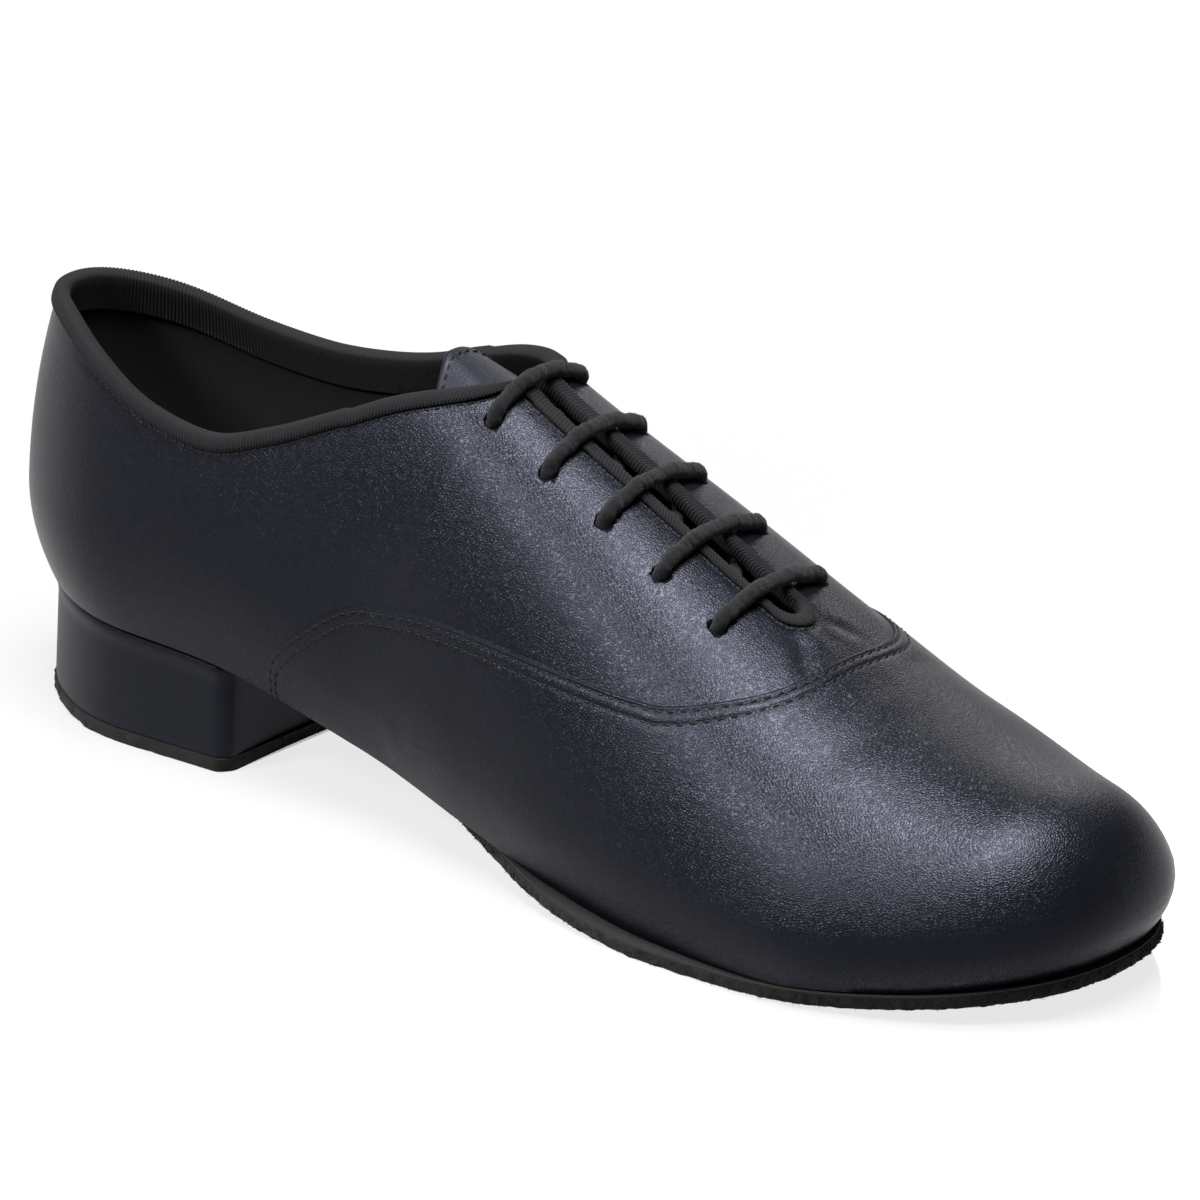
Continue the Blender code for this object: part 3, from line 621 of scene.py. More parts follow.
def leather_material(name, dark, light, grain_mm, depth, roughness, gloss_spread):
    """Drum-dyed calf with a light satin finish: a fine broken grain, slow changes of gloss and
    tone, and a little cool colour in its reflections of the lamps, which shows on the high
    places that catch them. grain_mm is one grain, drawn a little coarser than the real 0.4 mm so
    that it shows."""
    material, tree = new_material(name)
    where = add_node(tree, "ShaderNodeTexCoord").outputs["Object"]
    wander = add_node(tree, "ShaderNodeTexNoise", {}, {
        "Vector": where, "Scale": 1 / 0.0022, "Detail": 3.0,
    })
    bend = add_node(tree, "ShaderNodeVectorMath", {"operation": "MULTIPLY_ADD"}, {
        0: wander.outputs["Color"], 1: (0.0009, 0.0009, 0.0009), 2: where,
    })
    stretch = add_node(tree, "ShaderNodeVectorMath", {"operation": "MULTIPLY"}, {
        0: bend.outputs[0], 1: (1.0, 1.0, 1.35),
    })
    cells = add_node(tree, "ShaderNodeTexVoronoi", {"feature": "DISTANCE_TO_EDGE"}, {
        "Vector": stretch.outputs[0], "Scale": 1000 / grain_mm,
    })
    pebble = add_node(tree, "ShaderNodeMapRange", {"interpolation_type": "SMOOTHSTEP"}, {
        "Value": cells.outputs["Distance"], "From Min": 0.0, "From Max": 0.32,
    })
    creases = add_node(tree, "ShaderNodeTexNoise", {"noise_type": "RIDGED_MULTIFRACTAL"}, {
        "Vector": bend.outputs[0], "Scale": 1 / 0.0028, "Detail": 4.0, "Roughness": 0.6,
    })
    slow = add_node(tree, "ShaderNodeTexNoise", {}, {
        "Vector": where, "Scale": 1 / 0.030, "Detail": 3.0,
    })
    colour = add_node(tree, "ShaderNodeMix", {"data_type": "RGBA"}, {
        0: slow.outputs["Fac"], 6: linear(dark), 7: linear(light),
    })
    gloss = add_node(tree, "ShaderNodeMapRange", {}, {
        "Value": slow.outputs["Fac"], "From Min": 0.25, "From Max": 0.75,
        "To Min": roughness - gloss_spread, "To Max": roughness + gloss_spread,
    })
    shallow = add_node(tree, "ShaderNodeBump", {}, {
        "Height": creases.outputs["Fac"], "Distance": depth * 0.22, "Strength": 0.5,
    })
    grain = add_node(tree, "ShaderNodeBump", {}, {
        "Height": pebble.outputs["Result"], "Distance": depth, "Strength": 0.8,
        "Normal": shallow.outputs["Normal"],
    })
    finish_material(tree, {
        "Base Color": colour.outputs[2],
        "Roughness": gloss.outputs["Result"],
        "IOR": 1.38,
        "Specular IOR Level": 0.24,
        "Specular Tint": linear("#dfe3ff"),
        "Normal": grain.outputs["Normal"],
    })
    return material


soft_calf = leather_material(
    "drum_dyed_calf", "#050609", "#090a0e", 0.62, 0.00005, 0.34, 0.04
)

# Lining leather with its grain side polished off: dark, dull and slightly uneven.
lining_leather, tree = new_material("smooth_lining_leather")
where = add_node(tree, "ShaderNodeTexCoord").outputs["Object"]
nap = add_node(tree, "ShaderNodeTexNoise", {}, {
    "Vector": where, "Scale": 1 / 0.0006, "Detail": 3.0,
})
lining_bump = add_node(tree, "ShaderNodeBump", {}, {
    "Height": nap.outputs["Fac"], "Distance": 0.00008, "Strength": 0.6,
})
finish_material(tree, {
    "Base Color": linear("#060608"),
    "Roughness": 0.78,
    "IOR": 1.45,
    "Specular IOR Level": 0.30,
    "Normal": lining_bump.outputs["Normal"],
})

feet = column_shares()
lines = both_sides(trace(feet, MEDIAL), trace(feet, LATERAL))
column_feet = both_sides(feet, feet)
steps = np.linalg.norm(np.diff(lines[:, :, :3], axis=1), axis=2)
lengths = np.concatenate([np.zeros((len(lines), 1)), np.cumsum(steps, axis=1)], axis=1)
total = lengths[:, -1]

value = seam_value(lines[:, :, 3], lines[:, :, 1] - ridge(lines[:, :, 3]), lines[:, :, 2])
crossing = np.zeros(len(lines))
for j in range(len(lines)):
    below = np.nonzero(value[j] < 0)[0]
    if len(below):
        i = min(below[-1], value.shape[1] - 2)
        part = value[j, i] / (value[j, i] - value[j, i + 1] - 1e-12)
        crossing[j] = lengths[j, i] + part * (lengths[j, i + 1] - lengths[j, i])
crossing = np.clip(crossing, SEAM_ABOVE_FOOT, total - SEAM_BELOW_EDGE)
cluster = np.array(SEAM_RINGS_MM) * 0.001
low = np.linspace(0, 1, LOW_RINGS, endpoint=False)[None, :]
high = np.linspace(0, 1, HIGH_RINGS + 1)[None, 1:]
rings = np.concatenate([
    low * (crossing[:, None] + cluster[0]),
    crossing[:, None] + cluster[None, :],
    crossing[:, None] + cluster[-1]
    + high * (total[:, None] - crossing[:, None] - cluster[-1]),
], axis=1)
fine = values_at(lines, lengths, rings)
skin, skin_shares = fine[:, :, :3], fine[:, :, 3]
skin_normals = grid_normals(skin)
seam_away = seam_distance(skin, skin_shares)
lap = SEAM_STEP * ease(-seam_away / LAP_RAMP) * np.clip(rings / LAP_FADE, 0, 1)
row_places = [-ROW_FROM_EDGE, -ROW_FROM_EDGE - ROWS_APART]
for place in row_places:
    lap -= ROW_SINK * bell(seam_away - place, ROW_SINK_WIDTH)
lap += PUFF_BETWEEN_ROWS * bell(seam_away - sum(row_places) / 2, PULL_WIDTH)
lap -= TAPE_ROW_SINK * bell(total[:, None] - rings - TAPE_ROW, PULL_WIDTH)
lift = lap + fold_lift(skin)
outer = skin + skin_normals * lift[:, :, None]

inner_rings = np.linspace(0.004, 1, INNER_RINGS)[None, :] * total[:, None]
inner_fine = values_at(lines, lengths, inner_rings)
inside = inner_fine[:, :, :3] - grid_normals(inner_fine[:, :, :3]) * WALL
plan_in = np.stack([
    both_sides(inward(feet, MEDIAL)[0], inward(feet, LATERAL)[0]),
    both_sides(inward(feet, MEDIAL)[1], inward(feet, LATERAL)[1]),
    np.zeros(len(lines)),
], -1)
edge = outer[:, 0]
bottom_lip = edge + plan_in * MARGIN_WIDTH
bottom_lip[:, 2] = edge_height(share_of(bottom_lip[:, 0]))
top_lip = bottom_lip + [0, 0, WALL]
corner = edge + plan_in * WALL * 1.25
corner[:, 2] = edge_height(share_of(corner[:, 0])) + WALL
inside = inside[:, ::-1]
inside[:, :, 2] = np.maximum(inside[:, :, 2], corner[:, None, 2] + 0.0008)
shell = np.concatenate(
    [outer, inside, corner[:, None], top_lip[:, None], bottom_lip[:, None]], axis=1
)
shell_faces = grid_faces(shell.shape[0], shell.shape[1], True, True)
ring_of_face = np.tile(np.arange(shell.shape[1]), shell.shape[0])
outer_count = outer.shape[1]
lining_faces = (ring_of_face >= outer_count - 1) & (ring_of_face < shell.shape[1] - 3)
upper_piece = make_piece(
    "upper_leather", shell, shell_faces, [soft_calf, lining_leather],
    lining_faces.astype(int), 62.0,
)

LACE_ROWS = 5
LACE_PITCH = 0.0152
FIRST_LACE_ROW = 0.4735
HOLE_SPREAD_TOP = 0.0272
HOLE_SPREAD_BOTTOM = 0.0322
HOLE_DIAMETER = 0.0040
PUNCH_SIDES = 20
lace_row = np.arange(LACE_ROWS)
hole_shares = FIRST_LACE_ROW + lace_row * LACE_PITCH / SHOE_LENGTH
hole_across = np.interp(
    lace_row, [0, LACE_ROWS - 1], [HOLE_SPREAD_TOP, HOLE_SPREAD_BOTTOM]
) / 2


def ring_about(centre, axis, radius, sides):
    """A round ring of points about an axis."""
    guide = unit(np.cross(axis, (0.0, 1.0, 0.0)))
    other = np.cross(axis, guide)
    turn = np.arange(sides)[:, None] * 2 * np.pi / sides
    return centre + radius * (np.cos(turn) * guide + np.sin(turn) * other)


punches, punch_faces = [], []
for side in (MEDIAL, LATERAL):
    for share, away in zip(hole_shares, hole_across):
        centre, axis = surface_point(share, side * away)
        first = len(punches) * 2 * PUNCH_SIDES
        punches.append(np.concatenate([
            ring_about(centre + axis * reach, axis, HOLE_DIAMETER / 2, PUNCH_SIDES)
            for reach in (-0.005, 0.004)
        ]))
        punch_faces += grid_faces(2, PUNCH_SIDES, False, True, first).tolist()
        for start in (first, first + PUNCH_SIDES):
            punch_faces.append(range(start, start + PUNCH_SIDES))
punch = make_piece("lace_hole_punch", np.array(punches), punch_faces, [soft_calf])
cut = upper_piece.modifiers.new("lace holes", "BOOLEAN")
cut.operation = "DIFFERENCE"
cut.solver = "EXACT"
cut.object = punch
graph = bpy.context.evaluated_depsgraph_get()
upper_piece.data = bpy.data.meshes.new_from_object(upper_piece.evaluated_get(graph))
upper_piece.modifiers.clear()
bpy.data.objects.remove(punch)
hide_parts("upper")

# Stitches. Waxed polyester thread: two rows along the vamp seam at nine stitches to the inch,
# and one row beside the tape round the collar and facings. Each stitch sinks at both ends.

THREAD = 0.00042
SEAM_STITCH_PITCH = 0.0028
EDGE_STITCH_PITCH = 0.0024
STITCH_SHARE = 0.78
STITCH_SINK = 0.0003
STITCH_SIDES = 6
STITCH_RINGS = 6
# Painted shade in the needle holes: small dark discs of this radius and number of sides.
HOLE_SHADE_RADIUS = 0.00034
HOLE_SHADE_SIDES = 8
SHORTEST_ROW = 0.02

# Twisted polyester drawn through wax: black, with a dull glint on each stitch.
thread_wax, tree = new_material("waxed_polyester_thread")
where = add_node(tree, "ShaderNodeTexCoord").outputs["Object"]
ply = add_node(tree, "ShaderNodeTexNoise", {}, {
    "Vector": where, "Scale": 1 / 0.00035, "Detail": 1.0,
})
ply_bump = add_node(tree, "ShaderNodeBump", {}, {
    "Height": ply.outputs["Fac"], "Distance": 0.00006, "Strength": 0.7,
})
finish_material(tree, {
    "Base Color": linear("#060609"),
    "Roughness": 0.62,
    "Specular IOR Level": 0.20,
    "IOR": 1.50,
    "Normal": ply_bump.outputs["Normal"],
})


def level_lines(field, level):
    """Lines of equal value over a grid closed along its first index, as grid places."""
    above = field > level
    links = {}
    rows, cols = field.shape

    def place(i, k, di, dk):
        a, b = field[i, k], field[(i + di) % rows, k + dk]
        part = (level - a) / (b - a)
        return (i + di * part, k + dk * part)

    for i, k in zip(*np.nonzero(
        (above[:, :-1] != above[:, 1:])
        | (above[:, :-1] != np.roll(above, -1, 0)[:, :-1])
        | (above[:, 1:] != np.roll(above, -1, 0)[:, 1:])
    )):
        nxt = (i + 1) % rows
        cut_edges = []
        for start, step in (((i, k), (0, 1)), ((i, k), (1, 0)),
                            ((nxt, k), (0, 1)), ((i, k + 1), (1, 0))):
            end = ((start[0] + step[0]) % rows, start[1] + step[1])
            if above[start] != above[end]:
                cut_edges.append((*start, *step))
        for a, b in zip(cut_edges[::2], cut_edges[1::2]):
            links.setdefault(a, []).append(b)
            links.setdefault(b, []).append(a)
    chains = []
    while links:
        ends = [key for key, others in links.items() if len(others) == 1]
        here = ends[0] if ends else next(iter(links))
        chain = [place(*here)]
        while here in links:
            others = links.pop(here)
            ahead = [other for other in others if other in links]
            if not ahead:
                break
            here = ahead[0]
            chain.append(place(*here))
        chains.append(chain)
    return chains


def grid_lookup(grid, places):
    """Values of a grid closed along its first index, between its points."""
    places = np.asarray(places)
    i = np.floor(places[:, 0]).astype(int)
    k = np.clip(np.floor(places[:, 1]).astype(int), 0, grid.shape[1] - 2)
    u, v = (places[:, 0] - i)[:, None], (places[:, 1] - k)[:, None]
    nxt = (i + 1) % grid.shape[0]
    i = i % grid.shape[0]
    return (
        (grid[i, k] * (1 - v) + grid[i, k + 1] * v) * (1 - u)
        + (grid[nxt, k] * (1 - v) + grid[nxt, k + 1] * v) * u
    )


def walked_along(path):
    """Distance walked along a path at each of its points."""
    steps = np.linalg.norm(np.diff(path, axis=0), axis=1)
    return np.concatenate([[0], np.cumsum(steps)])


def at_distance(path, walked, wanted):
    """Values of a path at the wanted distances along it."""
    return np.stack([np.interp(wanted, walked, values) for values in path.T], -1)


def stitch_mesh(path, normals, pitch):
    """Points and faces of a row of stitches along a path, each sunk at its ends."""
    walked = walked_along(path)
    count = max(1, int(round(walked[-1] / pitch)))
    turn = np.arange(STITCH_SIDES)[None, :, None] * 2 * np.pi / STITCH_SIDES
    marks = np.linspace(-0.5, 0.5, STITCH_RINGS)
    from_middle = 2 * np.abs(marks)
    radius = THREAD / 2 * np.sqrt(np.clip(1.12 - from_middle**4, 0.05, 1))[:, None, None]
    rise = THREAD * 0.30 - STITCH_SINK * from_middle**3 - THREAD * 0.7 * from_middle**3
    points, faces = [], []
    for n in range(count):
        reach = (n + 0.5 + marks * STITCH_SHARE) * walked[-1] / count
        spine = at_distance(path, walked, reach)
        up = unit(at_distance(normals, walked, reach))
        side = unit(np.cross(np.gradient(spine, axis=0), up))
        spine = spine + up * rise[:, None]
        first = n * STITCH_RINGS * STITCH_SIDES
        last = first + (STITCH_RINGS - 1) * STITCH_SIDES
        around = np.cos(turn) * up[:, None] + np.sin(turn) * side[:, None]
        points.append((spine[:, None] + radius * around).reshape(-1, 3))
        faces += grid_faces(STITCH_RINGS, STITCH_SIDES, False, True, first).tolist()
        faces += [range(start, start + STITCH_SIDES) for start in (first, last)]
    return np.concatenate(points), faces


def hole_shade_discs(path, normals, pitch):
    """Small dark, dull discs of painted shade where the thread goes down between two stitches:
    they stand for the shade inside each needle hole.
    """
    walked = walked_along(path)
    count = max(1, int(round(walked[-1] / pitch)))
    reach = np.arange(count) * walked[-1] / count
    centres = at_distance(path, walked, reach)
    ups = unit(at_distance(normals, walked, reach))
    points, faces = [], []
    for n, (centre, up) in enumerate(zip(centres, ups)):
        rim = ring_about(centre + up * 0.00002, up, HOLE_SHADE_RADIUS, HOLE_SHADE_SIDES)
        points.append(np.concatenate([rim, [centre + up * 0.00009]]))
        first = n * (HOLE_SHADE_SIDES + 1)
        faces += [
            (first + k, first + (k + 1) % HOLE_SHADE_SIDES, first + HOLE_SHADE_SIDES)
            for k in range(HOLE_SHADE_SIDES)
        ]
    return np.concatenate(points), faces


def join_meshes(parts):
    points, faces, first = [], [], 0
    for more_points, more_faces in parts:
        points.append(more_points)
        faces += [tuple(v + first for v in face) for face in more_faces]
        first += len(more_points)
    return np.concatenate(points), faces


seam_rows, hole_shade_parts = [], []
for place in row_places:
    for chain in level_lines(seam_away, place):
        path = grid_lookup(outer, chain)
        if walked_along(path)[-1] > SHORTEST_ROW:
            up = grid_lookup(skin_normals, chain)
            seam_rows.append(stitch_mesh(path, up, SEAM_STITCH_PITCH))
            hole_shade_parts.append(hole_shade_discs(path, up, SEAM_STITCH_PITCH))
seam_stitches = make_piece("vamp_seam_stitches", *join_meshes(seam_rows), [thread_wax])

tape_row_rings = (total - TAPE_ROW)[:, None]
row_line = values_at(np.concatenate([outer, skin_normals], -1), rings, tape_row_rings)[:, 0]
row_line = np.concatenate([row_line, row_line[:1]])
row_path, row_up = row_line[:, :3], row_line[:, 3:]
collar_stitches = make_piece(
    "collar_tape_stitches", *stitch_mesh(row_path, row_up, EDGE_STITCH_PITCH), [thread_wax]
)
hole_shade_parts.append(hole_shade_discs(row_path, row_up, EDGE_STITCH_PITCH))
# Dark, dull discs of painted shade at every needle hole, along the seam rows and the collar row.
hole_shade_piece = make_piece("hole_shade_discs", *join_meshes(hole_shade_parts), [lining_leather])

# Collar and facing tape. Ribbed grosgrain, folded over the raw edge of the collar and the
# facings and sewn down. It turns round the throat's foot in one piece.

TAPE_THICKNESS = 0.0006
TAPE_OUTSIDE = 0.0027
TAPE_INSIDE_COLLAR = 0.0080
TAPE_INSIDE_THROAT = 0.0045
RIB_PITCH = 0.0008
RIB_HEIGHT = 0.00022
SAMPLES_PER_RIB = 5
RIBBED_LOOPS = 16

# Woven polyester: matt black, lit only along its ribs. The weave of 0.2 mm threads is noise.
grosgrain, tree = new_material("woven_grosgrain")
where = add_node(tree, "ShaderNodeTexCoord").outputs["Object"]
threads = add_node(tree, "ShaderNodeTexNoise", {}, {
    "Vector": where, "Scale": 1 / 0.00022, "Detail": 2.0,
})
thread_bump = add_node(tree, "ShaderNodeBump", {}, {
    "Height": threads.outputs["Fac"], "Distance": 0.00007, "Strength": 0.8,
})
finish_material(tree, {
    "Base Color": linear("#050508"),
    "Roughness": 0.85,
    "IOR": 1.50,
    "Specular IOR Level": 0.18,
    "Sheen Weight": 0.03,
    "Sheen Roughness": 0.4,
    "Normal": thread_bump.outputs["Normal"],
})

inside_reach = np.interp(
    column_feet, [FACING_TOP - 0.10, FACING_TOP], [TAPE_INSIDE_COLLAR, TAPE_INSIDE_THROAT]
)
outside_share = np.array([1.0, 0.75, 0.45, 0.2, 0.0])
reach = np.concatenate([
    outside_share[None, :] * TAPE_OUTSIDE * np.ones((len(lines), 1)),
    np.array([0.25, 0.5, 0.75, 1.0])[None, :] * inside_reach[:, None],
], axis=1)
strip = values_at(lines, lengths, total[:, None] - reach)[:, :, :3]
strip_normals = unit(values_at(
    grid_normals(lines[:, :, :3]), lengths, total[:, None] - reach
))
edge_line, edge_normal = strip[:, 4], strip_normals[:, 4]
beyond = unit(edge_line - strip[:, 2])
near = GAP * (0.5 + 1.6 * bell(column_feet - FACING_TOP, 0.02))[:, None]
far = near + TAPE_THICKNESS
# Once round the tape's section: over the outside, round the edge, down the inside and back.
loop = []
for k, plump in enumerate((0.55, 1.05, 1.15, 1.08)):
    loop.append(strip[:, k] + strip_normals[:, k] * (near + TAPE_THICKNESS * plump))
half_thick = WALL / 2 + far
for angle in np.radians([78, 58, 36, 12, -12, -36, -58, -78]):
    loop.append(
        edge_line
        + edge_normal * (half_thick * np.sin(angle) - WALL / 2)
        + beyond * far * 1.25 * np.cos(angle)
    )
for k in (5, 6, 7, 8):
    loop.append(strip[:, k] - strip_normals[:, k] * (WALL + far))
loop.append(strip[:, 8] - strip_normals[:, 8] * (WALL + near))
loop.append(edge_line - edge_normal * (WALL + near))
loop.append(edge_line + beyond * near - edge_normal * WALL / 2)
loop.append(edge_line + edge_normal * near)
loop.append(strip[:, 0] + strip_normals[:, 0] * near)
loop = np.stack(loop, axis=1)
closed = np.concatenate([loop, loop[:1]])
walked = walked_along(closed[:, 7])
ribs = int(round(walked[-1] / RIB_PITCH))
wanted = np.linspace(0, walked[-1], ribs * SAMPLES_PER_RIB, endpoint=False)
tape = np.stack([
    at_distance(closed[:, k], walked, wanted) for k in range(loop.shape[1])
], axis=1)
tape_out = grid_normals(tape)
middle = tape[:, :RIBBED_LOOPS].mean(axis=1, keepdims=True)
sign = np.sign(((tape - middle) * tape_out).sum(2)[:, 7:9].mean())
rib = RIB_HEIGHT * np.abs(np.sin(np.arange(len(wanted)) * np.pi / SAMPLES_PER_RIB))
shown = np.zeros(loop.shape[1])
shown[:RIBBED_LOOPS] = 1.0
tape += sign * tape_out * (rib[:, None] * shown[None, :])[:, :, None]
tape_piece = make_piece(
    "collar_and_facing_tape", tape, grid_faces(tape.shape[0], tape.shape[1], True, True),
    [grosgrain], sharp=80.0,
)
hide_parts("edge_binding")

# Tongue. Leather with a rounded top, under the facings and sewn in under the vamp. One row of
# stitches runs just inside its edge.

TONGUE_TOP = 0.408
TONGUE_FRONT = 0.765
TONGUE_THICKNESS = 0.0018
TONGUE_HALF_WIDTHS = (0.0190, 0.0215, 0.0160)
LACE_DIAMETER = 0.0030
TONGUE_ROWS = 90
TONGUE_COLUMNS = 61
TONGUE_ROW_INSET = 0.0020

tongue_calf = leather_material(
    "tongue_calf", "#0a0b0e", "#111216", 0.55, 0.00004, 0.44, 0.05
)


def tongue_depth(t):
    """How deep the tongue lies under the upper's outer surface."""
    under_lace = WALL + 2 * (GAP + TAPE_THICKNESS) + LACE_DIAMETER + 2 * GAP
    under_vamp = WALL + 2 * GAP
    rise = ease((t - THROAT_END - 0.004) / 0.03)
    back = np.clip((FIRST_LACE_ROW - 0.015 - t) / 0.04, 0, 1)
    return under_lace + (under_vamp - under_lace) * rise + TONGUE_THICKNESS * back


def tongue_reach(t):
    reach = np.interp(t, [TONGUE_TOP, 0.5, TONGUE_FRONT], TONGUE_HALF_WIDTHS)
    corner = np.clip((t - TONGUE_TOP) / 0.030, 0, 1)
    return reach * (0.78 + 0.22 * np.sqrt(1 - (1 - corner) ** 2))


tongue_t = TONGUE_TOP + (TONGUE_FRONT - TONGUE_TOP) * np.linspace(0, 1, TONGUE_ROWS) ** 1.3
tongue_share = np.sin(np.linspace(-1, 1, TONGUE_COLUMNS) * np.pi / 2)
tt = np.repeat(tongue_t[:, None], TONGUE_COLUMNS, 1)
tongue_across = tongue_reach(tongue_t)[:, None] * tongue_share[None, :]
from_side = tongue_reach(tongue_t)[:, None] * (1 - np.abs(tongue_share))[None, :]
from_top = (tt - TONGUE_TOP) * SHOE_LENGTH
from_edge = np.minimum(from_side, from_top)
rounding = TONGUE_THICKNESS * 0.45 * (1 - np.sqrt(np.clip(from_edge / 0.0009, 0, 1)))
top_depth = tongue_depth(tt) + rounding
top_depth = top_depth + 0.00015 * bell(from_edge - TONGUE_ROW_INSET, 0.0005)
tongue_face, _ = surface_point(tt, tongue_across, top_depth)
tongue_back, _ = surface_point(
    tt, tongue_across, tongue_depth(tt) + TONGUE_THICKNESS - rounding
)
tongue_points = np.concatenate([tongue_face, tongue_back[:, ::-1]], axis=1)
wide = tongue_points.shape[1]
tongue_faces = grid_faces(TONGUE_ROWS, wide, False, True).tolist()
for row_start in (0, (TONGUE_ROWS - 1) * wide):
    for k in range(TONGUE_COLUMNS - 1):
        tongue_faces.append((
            row_start + k, row_start + k + 1,
            row_start + wide - 2 - k, row_start + wide - 1 - k,
        ))
tongue_piece = make_piece("tongue_leather", tongue_points, tongue_faces, [tongue_calf])
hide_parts("tongue")

row_t = TONGUE_TOP + TONGUE_ROW_INSET / SHOE_LENGTH + np.linspace(0, 1, 60) ** 2 * 0.075
row_reach = tongue_reach(row_t) - TONGUE_ROW_INSET
top_sweep = np.linspace(-1, 1, 24)[1:-1] * row_reach[0]
row_shares = np.concatenate([row_t[::-1], np.full(22, row_t[0]), row_t])
row_across = np.concatenate([-row_reach[::-1], top_sweep, row_reach])
row_path, row_up = surface_point(row_shares, row_across, tongue_depth(row_shares))
tongue_stitches = make_piece(
    "tongue_stitches", *stitch_mesh(row_path, row_up, EDGE_STITCH_PITCH), [thread_wax]
)

# Lace. One round braided cotton cord in five straight bars. It goes down through each hole,
# crosses under the facings to the next row, and runs back inside the outer facing to the top.

LACE_SIDES = 16
LACE_STEP = 0.00030
CURVE_SAMPLES = 6000
FUZZ = 0.00020
FUZZ_COUNT = 14000
FUZZ_LENGTH = 0.00050
FUZZ_THICK = 0.00003
FUZZ_LEAN = 0.8
BAR_HEIGHT = 0.0026

# Braided cotton gone woolly with use: no shine at all and a soft outline. Its pattern
# coordinates are millimetres along and round the cord; one braid step is 0.9 by 0.8 mm.
cotton_lace, tree = new_material("braided_cotton")
where = add_node(tree, "ShaderNodeTexCoord").outputs["UV"]
weave = add_node(tree, "ShaderNodeTexBrick", {"offset": 0.5}, {
    "Vector": where, "Scale": 1.0, "Brick Width": 0.9, "Row Height": 0.8,
    "Mortar Size": 0.12, "Mortar Smooth": 0.9,
})
body = add_node(tree, "ShaderNodeTexCoord").outputs["Object"]
fluff = add_node(tree, "ShaderNodeTexNoise", {}, {
    "Vector": body, "Scale": 1 / 0.00035, "Detail": 4.0, "Roughness": 0.7,
})
fluff_bump = add_node(tree, "ShaderNodeBump", {}, {
    "Height": fluff.outputs["Fac"], "Distance": 0.00045, "Strength": 1.0,
})
weave_bump = add_node(tree, "ShaderNodeBump", {"invert": True}, {
    "Height": weave.outputs["Fac"], "Distance": 0.00010, "Strength": 0.4,
    "Normal": fluff_bump.outputs["Normal"],
})
finish_material(tree, {
    "Base Color": linear("#08080b"),
    "Roughness": 0.95,
    "IOR": 1.45,
    "Specular IOR Level": 0.15,
    "Sheen Weight": 0.05,
    "Sheen Roughness": 0.5,
    "Normal": weave_bump.outputs["Normal"],
})


def lace_path():
    """Points that the lace's centre line goes through."""
    rest = LACE_DIAMETER / 2 + GAP
    under = WALL + GAP + TAPE_THICKNESS + 1.15 * rest
    points = []
    for row in range(LACE_ROWS):
        hole = hole_across[row]
        gap = half_gap(hole_shares[row])
        # distance from the ridge and height over the leather, from the hole to the middle
        places = (
            (hole, -under),
            (hole + 0.0001, -WALL / 2),
            (hole - 0.0006, 0.0008),
            (hole - 0.0023, 0.00165),
            (hole - 0.0060, 0.00170),
            (gap + 0.0022, BAR_HEIGHT),
            (gap * 0.5, BAR_HEIGHT),
        )
        for side, order in ((-1, places), (1, places[::-1])):
            for distance, lift in order:
                points.append(surface_point(hole_shares[row], side * distance, -lift)[0])
        if row < LACE_ROWS - 1:
            for share in (0.25, 0.5, 0.75):
                sideways = hole + share * (-hole_across[row + 1] - hole)
                t_here = hole_shares[row] + share * (hole_shares[row + 1] - hole_shares[row])
                points.append(surface_point(t_here, sideways, under)[0])
    beside = LACE_DIAMETER + 2 * GAP
    for row in range(LACE_ROWS - 1, -1, -1):
        t_here = hole_shares[row] - (0.018 if row else 0.002)
        depth = WALL + 1.6 * rest
        points.append(surface_point(t_here, hole_across[row] + beside, depth)[0])
    return np.array(points)


def curve_through(points, spacing):
    """Points a spacing apart on a smooth curve through the given ones."""
    chord = np.linalg.norm(np.diff(points, axis=0), axis=1) ** 0.5
    knots = np.concatenate([[0], np.cumsum(chord)])
    wanted = np.linspace(0, knots[-1], CURVE_SAMPLES)
    curve = np.stack([smooth(knots, points[:, a], wanted) for a in range(3)], -1)
    walked = walked_along(curve)
    return at_distance(curve, walked, np.arange(0, walked[-1], spacing))


def cord_mesh(path, radius, sides, rough, seed):
    """A round cord with a felted surface, closed at both ends, and its pattern coordinates."""
    tangent = unit(np.gradient(path, axis=0))
    guide = np.array((1.0, 0.0, 0.0))
    turn = np.arange(sides)[:, None] * 2 * np.pi / sides
    noise = np.random.default_rng(seed).normal(size=(len(path), sides))
    for _ in range(2):
        noise = (
            noise + np.roll(noise, 1, 0) + np.roll(noise, -1, 0)
            + np.roll(noise, 1, 1) + np.roll(noise, -1, 1)
        ) / 5
    noise /= noise.std()
    rings = []
    for n, (point, direction) in enumerate(zip(path, tangent)):
        guide = unit(guide - direction * guide.dot(direction))
        across = np.cross(direction, guide)
        size = (radius + rough * noise[n] * 0.5)[:, None]
        rings.append(point + size * np.cos(turn) * guide + size * np.sin(turn) * across)
    rings = np.array(rings)
    faces = grid_faces(len(path), sides, False, True).tolist()
    faces += [range(start, start + sides) for start in (0, (len(path) - 1) * sides)]
    step = np.linalg.norm(path[1] - path[0])
    uv = np.stack([
        np.repeat(np.arange(len(path)) * step * 1000, sides),
        np.tile(np.arange(sides) * 2 * np.pi * radius * 1000 / sides, len(path)),
    ], -1)
    return rings.reshape(-1, 3), faces, uv


